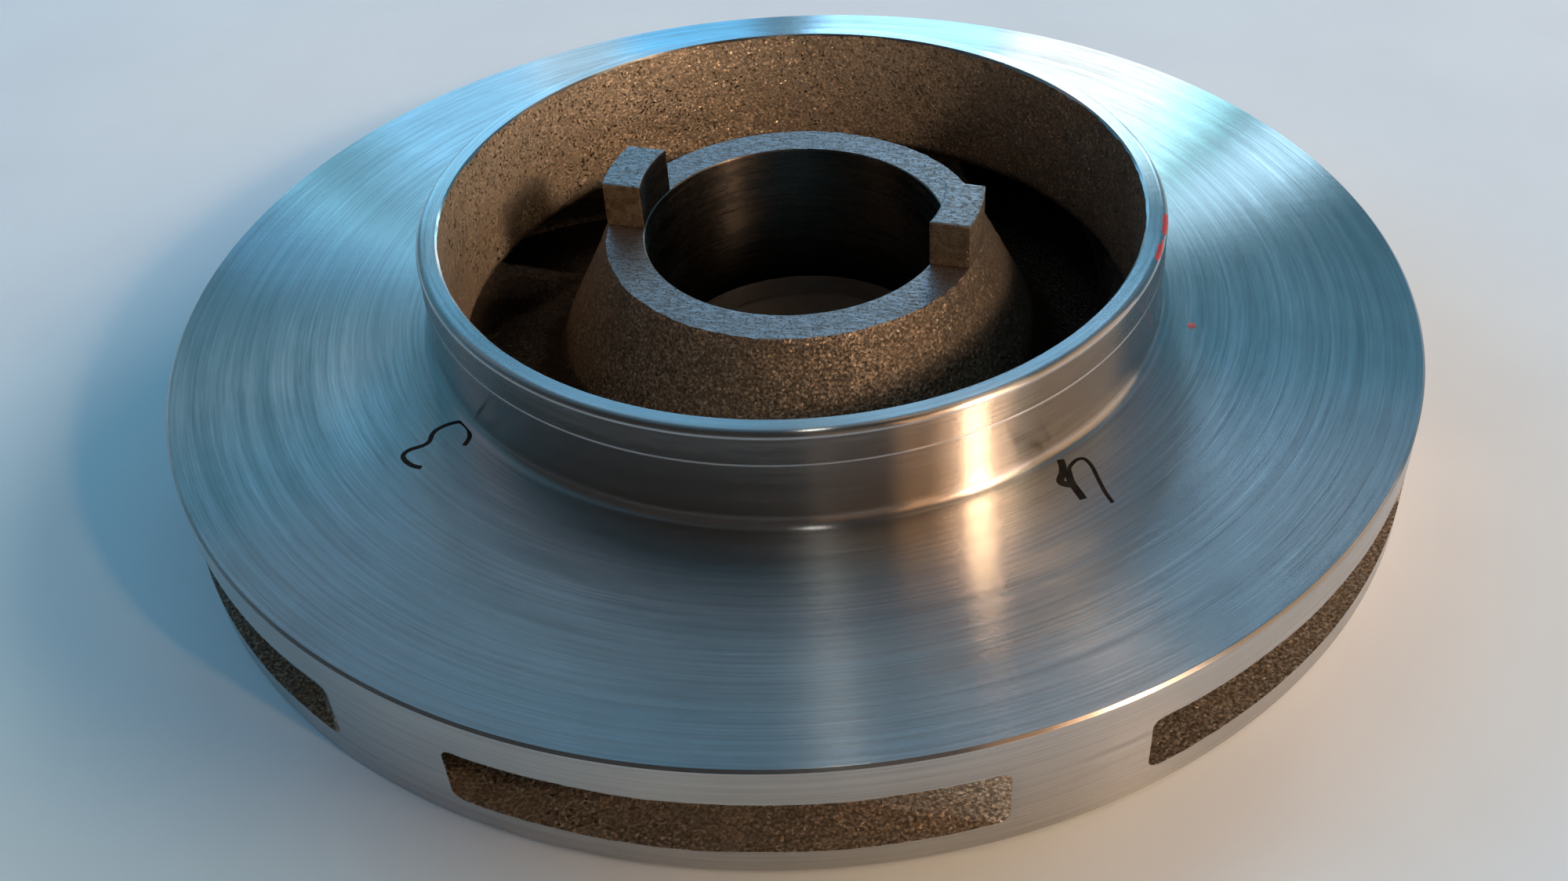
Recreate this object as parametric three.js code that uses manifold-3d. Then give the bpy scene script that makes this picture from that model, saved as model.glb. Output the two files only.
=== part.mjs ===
// A closed pump impeller, lying on its back face with the suction eye upwards.
// Units are millimetres, +Z is up along the shaft axis, and the origin is the centre of the back
// face. A flat back shroud and a front shroud enclose seven backward-curved vanes. The front
// shroud rises into a suction neck around the eye, and inside the eye a flared hub carries the
// shaft bore, a machined face and two driving lugs.
import * as THREE from 'three';
import { mergeVertices } from 'three/addons/utils/BufferGeometryUtils.js';
import Module from 'manifold-3d';

const wasm = await Module();
wasm.setup();

// Driving dimensions: outer rim
const RIM_RADIUS = 82.5;
const RIM_HEIGHT = 16.625;
const EDGE_BREAK = 0.4;
const RING_SEGMENTS = 80;
const FILLET_STEPS = 4;

// Flow passage between the shrouds
const PASSAGE_FLOOR = 3.5;
const PASSAGE_CEILING = 11.375;

// Front shroud face, which rises slightly towards the neck
const FACE_INNER_RADIUS = 50.2;
const FACE_INNER_HEIGHT = 17.5;
const NECK_FILLET = 1.45;
const THROAT_FILLET = 2;

// Suction neck and the wear land turned at its top
const NECK_RADIUS = 48.75;
const NECK_FOOT_HEIGHT = 19;
const LAND_RADIUS = 48.67;
const LAND_FOOT_HEIGHT = 26.375;
const LAND_GROOVE = 0.2;
const NECK_TOP_HEIGHT = 30.75;
const NECK_TOP_ROUND = 1;
const EYE_RADIUS_TOP = 45.93;
const EYE_RADIUS_THROAT = 45.4;
const EYE_BURR = 0.15;

// Hub and shaft bore
const BORE_RADIUS = 20;
const BORE_RELIEF_RADIUS = 20.5;
const BORE_RELIEF_HEIGHT = 10.5;
const BORE_CHAMFER = 0.3;
const HUB_FACE_RADIUS = 25.2;
const HUB_FACE_HEIGHT = 25.75;
const HUB_CONE_RADIUS = 33.9;
const HUB_CONE_HEIGHT = 8.3;
const HUB_FOOT_RADIUS = 39;
const HUB_EDGE_LEAN = 0.2;

// Driving lugs, two ends of one tongue milled across the hub face
const LUG_HEIGHT = 6.375;
const LUG_HALF_WIDTH = 5.06;
const TONGUE_ANGLE = THREE.MathUtils.degToRad(-18.3);

// Vanes
const VANE_COUNT = 7;
const FIRST_TAIL_ANGLE = THREE.MathUtils.degToRad(-71.5);
const SECOND_TAIL_ANGLE = THREE.MathUtils.degToRad(-124.6);
const VANE_NOSE_RADIUS = 40.5;
const VANE_THROAT_RADIUS = 46.5;
const BLADE_ANGLE_INLET = THREE.MathUtils.degToRad(27);
const BLADE_ANGLE_OUTLET = THREE.MathUtils.degToRad(22);
const VANE_THICKNESS_NOSE = 3.6;
const VANE_THICKNESS_TAIL = 6.1;
const CAMBER_STEPS = 14;

// Lengths by which a block is drawn too large before it is cut to its envelope
const TAIL_OVERRUN = 3;
const CUT_MARGIN = 1;

// Points closer than this are one point
const WELD_DISTANCE = 1e-4;

// Finishes
const machinedMetal = new THREE.MeshStandardMaterial({
  color: 0xa9adb0, roughness: 0.32, metalness: 1,
});
const castSkin = new THREE.MeshStandardMaterial({
  color: 0x6b5138, roughness: 0.75, metalness: 0.6,
});
const turnedBand = new THREE.MeshStandardMaterial({
  color: 0xa99a8c, roughness: 0.4, metalness: 1,
});

// Points of a round corner from one angle to another, both ends included. Its width and height are
// the two half axes, which are the same for a true round.
function arc(centreR, centreZ, width, height, fromDegrees, toDegrees) {
  const points = [];
  for (let step = 0; step <= FILLET_STEPS; step += 1) {
    const degrees = THREE.MathUtils.lerp(fromDegrees, toDegrees, step / FILLET_STEPS);
    const angle = THREE.MathUtils.degToRad(degrees);
    points.push([centreR + width * Math.cos(angle), centreZ + height * Math.sin(angle)]);
  }
  return points;
}

// A ring turned about the shaft axis from a closed outline of radius and height pairs, given
// counter-clockwise so that its faces point out
function turned(outline) {
  const closed = [...outline, outline[0]];
  const points = closed.map(([radius, height]) => new THREE.Vector2(radius, height));
  const geometry = new THREE.LatheGeometry(points, RING_SEGMENTS);
  geometry.rotateX(Math.PI / 2);
  return geometry;
}

function toSolid(geometry) {
  const bare = geometry.clone();
  bare.deleteAttribute('normal');
  bare.deleteAttribute('uv');
  const merged = mergeVertices(bare, WELD_DISTANCE);
  return new wasm.Manifold(new wasm.Mesh({
    numProp: 3,
    vertProperties: new Float32Array(merged.attributes.position.array),
    triVerts: new Uint32Array(merged.index.array),
  }));
}

function toGeometry(solid) {
  const mesh = solid.getMesh();
  const geometry = new THREE.BufferGeometry();
  geometry.setAttribute('position', new THREE.BufferAttribute(mesh.vertProperties, 3));
  geometry.setIndex(new THREE.BufferAttribute(mesh.triVerts, 1));
  geometry.computeVertexNormals();
  return geometry;
}

// The eye wall narrows a little from its machined mouth down to the throat
function eyeRadius(height) {
  const throatTop = PASSAGE_CEILING + THROAT_FILLET;
  const share = (height - throatTop) / (NECK_TOP_HEIGHT - throatTop);
  return EYE_RADIUS_THROAT + share * (EYE_RADIUS_TOP - EYE_RADIUS_THROAT);
}

function frontShroud() {
  const roundZ = FACE_INNER_HEIGHT + NECK_FILLET;
  const throatR = EYE_RADIUS_THROAT + THROAT_FILLET;
  const throatZ = PASSAGE_CEILING + THROAT_FILLET;
  return turned([
    [RIM_RADIUS, PASSAGE_CEILING],
    [RIM_RADIUS, RIM_HEIGHT - EDGE_BREAK],
    [RIM_RADIUS - EDGE_BREAK, RIM_HEIGHT],
    ...arc(FACE_INNER_RADIUS, roundZ, NECK_FILLET, NECK_FILLET, 270, 180),
    [NECK_RADIUS, NECK_FOOT_HEIGHT],
    [eyeRadius(NECK_FOOT_HEIGHT), NECK_FOOT_HEIGHT],
    ...arc(throatR, throatZ, THROAT_FILLET, THROAT_FILLET, 180, 270),
  ]);
}

function suctionNeck() {
  return turned([
    [NECK_RADIUS, NECK_FOOT_HEIGHT],
    [NECK_RADIUS, LAND_FOOT_HEIGHT - LAND_GROOVE],
    [NECK_RADIUS - LAND_GROOVE, LAND_FOOT_HEIGHT],
    [eyeRadius(LAND_FOOT_HEIGHT), LAND_FOOT_HEIGHT],
    [eyeRadius(NECK_FOOT_HEIGHT), NECK_FOOT_HEIGHT],
  ]);
}

function wearLand() {
  const roundR = LAND_RADIUS - NECK_TOP_ROUND;
  const roundZ = NECK_TOP_HEIGHT - NECK_TOP_ROUND;
  return turned([
    [NECK_RADIUS - LAND_GROOVE, LAND_FOOT_HEIGHT],
    [LAND_RADIUS, LAND_FOOT_HEIGHT + LAND_GROOVE],
    ...arc(roundR, roundZ, NECK_TOP_ROUND, NECK_TOP_ROUND, 0, 90),
    [EYE_RADIUS_TOP + EYE_BURR, NECK_TOP_HEIGHT],
    [EYE_RADIUS_TOP, NECK_TOP_HEIGHT - EYE_BURR],
    [eyeRadius(LAND_FOOT_HEIGHT), LAND_FOOT_HEIGHT],
  ]);
}

function backShroud() {
  return turned([
    [BORE_RELIEF_RADIUS + BORE_CHAMFER, 0],
    [RIM_RADIUS - EDGE_BREAK, 0],
    [RIM_RADIUS, EDGE_BREAK],
    [RIM_RADIUS, PASSAGE_FLOOR],
    [BORE_RELIEF_RADIUS, PASSAGE_FLOOR],
    [BORE_RELIEF_RADIUS, BORE_CHAMFER],
  ]);
}

// The cast hub: a cone that flares down into a hollow fillet on the back shroud
function hub() {
  const filletWidth = HUB_FOOT_RADIUS - HUB_CONE_RADIUS;
  const filletHeight = HUB_CONE_HEIGHT - PASSAGE_FLOOR;
  return turned([
    ...arc(HUB_FOOT_RADIUS, HUB_CONE_HEIGHT, filletWidth, filletHeight, 270, 180),
    [HUB_FACE_RADIUS + HUB_EDGE_LEAN, HUB_FACE_HEIGHT - EDGE_BREAK],
    [HUB_FACE_RADIUS, HUB_FACE_HEIGHT],
    [BORE_RADIUS, HUB_FACE_HEIGHT],
    [BORE_RADIUS, BORE_RELIEF_HEIGHT],
    [BORE_RELIEF_RADIUS, BORE_RELIEF_HEIGHT],
    [BORE_RELIEF_RADIUS, PASSAGE_FLOOR],
  ]);
}

// One end of the tongue: the ring over the hub face, kept only between the two milled flanks
function driveLug(side) {
  const ring = toSolid(turned([
    [HUB_FACE_RADIUS, HUB_FACE_HEIGHT],
    [HUB_FACE_RADIUS, HUB_FACE_HEIGHT + LUG_HEIGHT],
    [BORE_RADIUS, HUB_FACE_HEIGHT + LUG_HEIGHT],
    [BORE_RADIUS, HUB_FACE_HEIGHT],
  ]));
  const reach = HUB_FACE_RADIUS + CUT_MARGIN;
  const tongue = new THREE.BoxGeometry(reach, 2 * LUG_HALF_WIDTH, 2 * LUG_HEIGHT);
  tongue.translate(side * reach / 2, 0, HUB_FACE_HEIGHT + LUG_HEIGHT);
  tongue.rotateZ(TONGUE_ANGLE);
  return toGeometry(ring.intersect(toSolid(tongue)));
}

// Blade angle against the tangent at a given radius
function bladeAngle(radius) {
  const share = (radius - VANE_NOSE_RADIUS) / (RIM_RADIUS - VANE_NOSE_RADIUS);
  return THREE.MathUtils.lerp(BLADE_ANGLE_INLET, BLADE_ANGLE_OUTLET, share);
}

// Camber line from the tail inwards, as points with radius, angle and half thickness. It starts
// just outside the rim so that the tail is cut flush with it.
function camberLine(tailAngle) {
  const outerRadius = RIM_RADIUS + TAIL_OVERRUN;
  const innerRadius = VANE_NOSE_RADIUS - CUT_MARGIN;
  const stride = (outerRadius - innerRadius) / CAMBER_STEPS;
  const startAngle = tailAngle + Math.log(outerRadius / RIM_RADIUS) / Math.tan(BLADE_ANGLE_OUTLET);
  const line = [];
  let angle = startAngle;
  for (let step = 0; step <= CAMBER_STEPS; step += 1) {
    const radius = outerRadius - step * stride;
    const share = THREE.MathUtils.clamp(
      (radius - VANE_NOSE_RADIUS) / (RIM_RADIUS - VANE_NOSE_RADIUS), 0, 1,
    );
    const thickness = THREE.MathUtils.lerp(VANE_THICKNESS_NOSE, VANE_THICKNESS_TAIL, share);
    line.push({ radius, angle, half: thickness / 2 });
    const middle = radius - stride / 2;
    angle -= stride / (middle * Math.tan(bladeAngle(middle)));
  }
  return line;
}

// Plan outline of a vane: both faces are offset square to the camber line
function vaneOutline(tailAngle) {
  const outer = [];
  const inner = [];
  for (const { radius, angle, half } of camberLine(tailAngle)) {
    const blade = bladeAngle(radius);
    const normal = angle - blade;
    const x = radius * Math.cos(angle);
    const y = radius * Math.sin(angle);
    outer.push(new THREE.Vector2(x + half * Math.cos(normal), y + half * Math.sin(normal)));
    inner.push(new THREE.Vector2(x - half * Math.cos(normal), y - half * Math.sin(normal)));
  }
  return new THREE.Shape([...outer, ...inner.reverse()]);
}

// The space that the vanes fill: between floor and ceiling, cut flush at the rim, and sloping
// inwards under the eye so that each leading edge leans towards the hub
function vaneEnvelope() {
  return toSolid(turned([
    [VANE_NOSE_RADIUS, PASSAGE_FLOOR],
    [RIM_RADIUS, PASSAGE_FLOOR],
    [RIM_RADIUS, PASSAGE_CEILING],
    [VANE_THROAT_RADIUS, PASSAGE_CEILING],
  ]));
}

function vane(tailAngle) {
  const depth = PASSAGE_CEILING - PASSAGE_FLOOR + 2 * CUT_MARGIN;
  const blade = new THREE.ExtrudeGeometry(vaneOutline(tailAngle), {
    depth, steps: 1, bevelEnabled: false,
  });
  blade.translate(0, 0, PASSAGE_FLOOR - CUT_MARGIN);
  return toGeometry(toSolid(blade).intersect(vaneEnvelope()));
}

// The two tails seen in front stand slightly further apart than the rest, which share the
// remaining turn evenly
function tailAngles() {
  const angles = [FIRST_TAIL_ANGLE];
  const rest = 2 * Math.PI - (FIRST_TAIL_ANGLE - SECOND_TAIL_ANGLE);
  const pitch = rest / (VANE_COUNT - 1);
  for (let index = 1; index < VANE_COUNT; index += 1) {
    angles.push(FIRST_TAIL_ANGLE + index * pitch);
  }
  return angles;
}

const impeller = new THREE.Group();

function addPiece(name, geometry, material) {
  const piece = new THREE.Mesh(geometry, material);
  piece.name = name;
  impeller.add(piece);
}

addPiece('back_shroud', backShroud(), turnedBand);
addPiece('hub', hub(), castSkin);
addPiece('drive_lug_left', driveLug(-1), machinedMetal);
addPiece('drive_lug_right', driveLug(1), machinedMetal);
tailAngles().forEach((tailAngle, index) => {
  addPiece(`vane_${index + 1}`, vane(tailAngle), castSkin);
});
addPiece('front_shroud', frontShroud(), machinedMetal);
addPiece('suction_neck', suctionNeck(), machinedMetal);
addPiece('wear_land', wearLand(), turnedBand);

export default impeller;
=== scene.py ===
"""Looks of a closed pump impeller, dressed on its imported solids.

The impeller lies on its back face on a pale table, with the suction eye upwards. Every length is in
metres, +Z runs up the shaft axis and the origin is the centre of the back face. Angles round the
shaft are in degrees from +X, counter-clockwise seen from above.
"""
import logging
import math
from dataclasses import dataclass, field
from enum import Enum
from itertools import product

import bmesh
import bpy
import numpy as np
from mathutils import Matrix, Quaternion, Vector, noise


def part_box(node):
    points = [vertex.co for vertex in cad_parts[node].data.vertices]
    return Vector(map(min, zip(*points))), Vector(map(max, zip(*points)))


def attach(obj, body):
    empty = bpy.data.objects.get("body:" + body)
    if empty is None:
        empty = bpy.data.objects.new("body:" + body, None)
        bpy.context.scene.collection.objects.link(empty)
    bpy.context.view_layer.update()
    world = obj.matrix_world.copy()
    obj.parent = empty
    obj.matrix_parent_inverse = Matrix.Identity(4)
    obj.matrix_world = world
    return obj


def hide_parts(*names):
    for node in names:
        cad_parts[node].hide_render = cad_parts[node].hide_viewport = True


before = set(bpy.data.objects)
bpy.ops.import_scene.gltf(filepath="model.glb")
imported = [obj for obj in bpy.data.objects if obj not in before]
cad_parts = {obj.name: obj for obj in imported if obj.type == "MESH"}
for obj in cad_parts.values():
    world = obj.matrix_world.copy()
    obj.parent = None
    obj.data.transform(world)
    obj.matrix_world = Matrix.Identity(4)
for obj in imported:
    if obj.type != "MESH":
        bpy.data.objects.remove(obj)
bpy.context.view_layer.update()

LOG = logging.getLogger("impeller")
MM = 0.001
BODY = "root"
BLACK = (0.0, 0.0, 0.0)
SHAFT_AXIS = (0.0, 0.0, 1.0)
QUARTER_TURN = 0.25
Colour = tuple[float, float, float]
Socket = bpy.types.NodeSocket

# Least length that anything is divided by
TINY = 1e-12

# Values between which most of a noise texture lies
NOISE_RANGE = (0.3, 0.7)

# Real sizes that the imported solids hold
RIM_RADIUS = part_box("front_shroud")[1].x
PASSAGE_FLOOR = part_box("back_shroud")[1].z
PASSAGE_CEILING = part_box("front_shroud")[0].z
NECK_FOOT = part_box("suction_neck")[0].z
NECK_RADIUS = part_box("suction_neck")[1].x
LAND_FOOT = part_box("wear_land")[0].z
NECK_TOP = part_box("wear_land")[1].z
HUB_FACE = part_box("hub")[1].z
HUB_FOOT_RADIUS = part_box("hub")[1].x
LUG_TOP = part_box("drive_lug_left")[1].z

# Sizes shared by several sub-assemblies
EYE_RADIUS_TOP = 45.93 * MM
EYE_RADIUS_THROAT = 45.4 * MM
THROAT_ROUND = 2.0 * MM
THROAT_TOP = PASSAGE_CEILING + THROAT_ROUND
BORE_RADIUS = 20.0 * MM
BORE_RELIEF_RADIUS = 20.5 * MM
HUB_FACE_RADIUS = 25.2 * MM
TONGUE_ANGLE = -18.3
RING_SEGMENTS = 576
HUB_SEGMENTS = 400


class Finish(Enum):
    """The finishes of the impeller."""

    TURNED = "turned"
    BORED = "bored"
    FINE = "fine"
    MILLED = "milled"
    FLANK = "flank"
    CAST = "cast"


@dataclass(frozen=True)
class CastRelief:
    """The real unevenness of the sand-cast skin, as a height over the drawn surface.

    Attributes:
        wave: Height of the slow unevenness from the mould.
        wave_size: Size of that unevenness.
        grain: Height of the sand grain that is large enough to be modelled.
        grain_size: Size of that grain.
    """

    # Shift of the grain's noise against that of the slow unevenness
    GRAIN_SHIFT = 31.7

    wave: float = 0.16 * MM
    wave_size: float = 7.0 * MM
    grain: float = 0.1 * MM
    grain_size: float = 1.1 * MM

    def heights(self, points: np.ndarray) -> np.ndarray:
        """Gives the height of the skin at each point.

        Args:
            points: Points in metres, one in each row.

        Returns:
            One height in metres for each point, above or below zero.
        """
        slow = points / self.wave_size
        fine = points / self.grain_size + self.GRAIN_SHIFT
        heights = np.empty(len(points))
        for index, (first, second) in enumerate(zip(slow.tolist(), fine.tolist())):
            heights[index] = self.wave * noise.noise(first) + self.grain * noise.noise(second)
        return heights


SKIN = CastRelief()


class Outline:
    """Half section of a turned ring, walked counter-clockwise so that the metal is on the left."""

    # Distance from a corner to the point that holds its shading, and its greatest share of a run
    SUPPORT = 0.06 * MM
    MOST_SUPPORT = 0.2

    def __init__(self, radius: float, height: float) -> None:
        """Starts the outline.

        Args:
            radius: Distance of the first point from the shaft axis.
            height: Height of the first point.
        """
        self.points: list[tuple[float, float]] = [(radius, height)]
        self.finishes: list[Finish | None] = []

    def line(self, radius: float, height: float, finish: Finish | None, rows: int = 1) -> None:
        """Walks in a straight line.

        Args:
            radius: Radius of the end.
            height: Height of the end.
            finish: Finish of this run, or None where it meets a neighbouring piece.
            rows: Number of rows of faces, for a run that carries cast relief.
        """
        start = np.array(self.points[-1])
        step = np.array((radius, height)) - start
        shares = [row / rows for row in range(1, rows + 1)]
        margin = self.SUPPORT / max(np.linalg.norm(step), TINY)
        if rows == 1 and margin < self.MOST_SUPPORT:
            shares = [margin, 1 - margin, 1.0]
        for share in shares:
            self.points.append(tuple(start + share * step))
            self.finishes.append(finish)

    def arc(self, radius: float, start: float, end: float, finish: Finish, rows: int = 8,
            flatten: float = 1.0) -> None:
        """Walks round a corner from the present point.

        Args:
            radius: Radius of the round.
            start: Direction from the centre of the round to its first point, in degrees.
            end: Direction from the centre to its last point.
            finish: Finish of the round.
            rows: Number of rows of faces.
            flatten: Height of the round over its width.
        """
        first = math.radians(start)
        radius_0, height_0 = self.points[-1]
        centre = (radius_0 - radius * math.cos(first), height_0 - flatten * radius * math.sin(first))
        for row in range(1, rows + 1):
            angle = math.radians(start + (end - start) * row / rows)
            self.points.append((centre[0] + radius * math.cos(angle),
                                centre[1] + flatten * radius * math.sin(angle)))
            self.finishes.append(finish)

    def close(self, finish: Finish | None, rows: int = 1) -> "Outline":
        """Walks back to the first point and drops the double of it.

        Args:
            finish: Finish of the last run.
            rows: Number of rows of faces.

        Returns:
            The outline itself.
        """
        self.line(*self.points[0], finish, rows)
        self.points.pop()
        return self


def unit(vector: np.ndarray) -> np.ndarray:
    """Gives the vector with a length of one."""
    return vector / max(np.linalg.norm(vector), TINY)


class RingTurner:
    """Turns an outline into a closed ring, with cast relief where the outline is cast."""

    # Least turn of a corner that is shaded as sharp, in degrees
    SHARP_ANGLE = 28.0
    # Least crossing of a cast run by its neighbour, along which its border slides
    LEAST_CROSSING = 0.3

    def __init__(self, outline: Outline, segments: int) -> None:
        """Takes the outline to be turned.

        Args:
            outline: Closed half section.
            segments: Number of steps round the shaft.
        """
        self.outline = outline
        self.segments = segments

    def corner(self, index: int) -> tuple[np.ndarray, float, bool]:
        """Works out how one point of the outline moves with the relief.

        Args:
            index: Number of the point.

        Returns:
            The direction of its move as radius and height, the turn of the outline there in
            degrees, and whether the point carries relief.
        """
        before, after = self.runs(index)
        turn = math.degrees(math.acos(float(np.clip(before @ after, -1, 1))))
        was, comes = self.outline.finishes[index - 1], self.outline.finishes[index]
        if was == comes == Finish.CAST:
            along = unit(before + after)
            return np.array((along[1], -along[0])), turn, True
        if Finish.CAST not in (was, comes):
            return np.zeros(2), turn, False
        cast, plane = (before, after) if was == Finish.CAST else (after, before)
        normal = np.array((cast[1], -cast[0]))
        share = float(plane @ normal)
        if abs(share) < self.LEAST_CROSSING:
            return np.zeros(2), turn, False
        return plane / share, turn, True

    def runs(self, index: int) -> tuple[np.ndarray, np.ndarray]:
        """Gives the directions of the outline beside a point.

        Args:
            index: Number of the point.

        Returns:
            The direction before the point and the one after it.
        """
        points = self.outline.points
        here = np.array(points[index])
        before = unit(here - np.array(points[index - 1]))
        return before, unit(np.array(points[(index + 1) % len(points)]) - here)

    def border_beside(self, index: int) -> int:
        """Finds the point whose move a point shares.

        Args:
            index: Number of the point.

        Returns:
            The number of the border of a cast run that lies right beside the point, or its own.
        """
        finishes, count = self.outline.finishes, len(self.outline.points)
        here = np.array(self.outline.points[index])
        if Finish.CAST in (finishes[index - 1], finishes[index]):
            return index
        for near in ((index + 1) % count, (index - 1) % count):
            gap = np.linalg.norm(here - np.array(self.outline.points[near]))
            if Finish.CAST in (finishes[near - 1], finishes[near]) and gap < 2 * Outline.SUPPORT:
                return near
        return index

    def mesh(self, name: str, finishes: list[Finish]) -> bpy.types.Mesh:
        """Builds the ring.

        Args:
            name: Name of the mesh.
            finishes: Finishes in the order of the mesh's material slots.

        Returns:
            The closed mesh, smooth with sharp corners.
        """
        count, around = len(self.outline.points), self.segments
        angles = np.linspace(0, 2 * math.pi, around, endpoint=False)
        compass = np.stack([np.cos(angles), np.sin(angles)], axis=1)
        grid = np.zeros((count, around, 3))
        sharp_rings = []
        for index, (radius, height) in enumerate(self.outline.points):
            turn = self.corner(index)[1]
            border = self.border_beside(index)
            move, _, uneven = self.corner(border)
            ring = np.column_stack([radius * compass, np.full(around, height)])
            if uneven:
                edge_radius, edge_height = self.outline.points[border]
                edge = np.column_stack([edge_radius * compass, np.full(around, edge_height)])
                lift = SKIN.heights(edge)
                ring[:, :2] += compass * (lift * move[0])[:, None]
                ring[:, 2] += lift * move[1]
            grid[index] = ring
            if turn > self.SHARP_ANGLE:
                sharp_rings.append(index)
        ids = np.arange(count * around).reshape(count, around)
        nexts = np.roll(ids, -1, axis=0)
        faces = np.stack([ids, np.roll(ids, -1, axis=1), np.roll(nexts, -1, axis=1), nexts], axis=-1)
        made = bpy.data.meshes.new(name)
        made.from_pydata(grid.reshape(-1, 3).tolist(), [], faces.reshape(-1, 4).tolist())
        slots = [finishes.index(finish or finishes[0]) for finish in self.outline.finishes]
        made.polygons.foreach_set("material_index", np.repeat(slots, around).astype(np.int32))
        made.polygons.foreach_set("use_smooth", np.ones(count * around, dtype=bool))
        self.mark_sharp(made, np.isin(np.arange(count), sharp_rings), around)
        made.update()
        return made

    @staticmethod
    def mark_sharp(made: bpy.types.Mesh, is_sharp: np.ndarray, around: int) -> None:
        """Marks the edges that run round a sharp corner of the outline.

        Args:
            made: The turned mesh.
            is_sharp: For each point of the outline, whether its corner is sharp.
            around: Number of steps round the shaft.
        """
        ends = np.empty(len(made.edges) * 2, dtype=np.int32)
        made.edges.foreach_get("vertices", ends)
        rows = ends.reshape(-1, 2) // around
        same_ring = rows[:, 0] == rows[:, 1]
        made.edges.foreach_set("use_edge_sharp", same_ring & is_sharp[rows[:, 0]])


class TreeBuilder:
    """Short hand for adding and joining the nodes of a tree."""

    def __init__(self, tree: bpy.types.NodeTree) -> None:
        """Takes the tree that is built."""
        self.tree = tree

    def add(self, kind: str, inputs: dict | None = None, **settings) -> bpy.types.Node:
        """Adds a node.

        Args:
            kind: The node's type.
            inputs: Values or sockets for its inputs, by name or number.
            **settings: Properties of the node.

        Returns:
            The new node.
        """
        node = self.tree.nodes.new(kind)
        for key, value in settings.items():
            setattr(node, key, value)
        for key, value in (inputs or {}).items():
            self.feed(node.inputs[key], value)
        return node

    def feed(self, socket: Socket, value: object) -> None:
        """Links a socket into another, or sets its value.

        Args:
            socket: The input.
            value: The socket that feeds it, or its value.
        """
        if isinstance(value, Socket):
            self.tree.links.new(value, socket)
        else:
            socket.default_value = value

    def math(self, operation: str, first: object, second: object = 0.0,
             third: object = 0.0, clamp: bool = False) -> Socket:
        """Adds one step of arithmetic.

        Args:
            operation: Name of the operation.
            first: Its first value or socket.
            second: Its second value or socket.
            third: Its third value or socket, where it has one.
            clamp: Whether the result stays between zero and one.

        Returns:
            The socket of the result.
        """
        node = self.add("ShaderNodeMath", {0: first, 1: second, 2: third},
                        operation=operation, use_clamp=clamp)
        return node.outputs[0]

    def vector(self, operation: str, first: object, second: object = (0.0, 0.0, 0.0),
               scale: object = 1.0) -> Socket:
        """Adds one step of vector arithmetic.

        Args:
            operation: Name of the operation.
            first: Its first vector.
            second: Its second vector.
            scale: Its factor, where it has one.

        Returns:
            The socket of the result, a number for a length and a vector otherwise.
        """
        node = self.add("ShaderNodeVectorMath", {0: first, 1: second}, operation=operation)
        if operation == "SCALE":
            self.feed(node.inputs["Scale"], scale)
        return node.outputs["Value" if operation == "LENGTH" else "Vector"]

    def flattened(self, place: object) -> Socket:
        """Drops the height of a place, which leaves its way out from the shaft axis."""
        return self.vector("MULTIPLY", place, (1.0, 1.0, 0.0))


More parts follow.
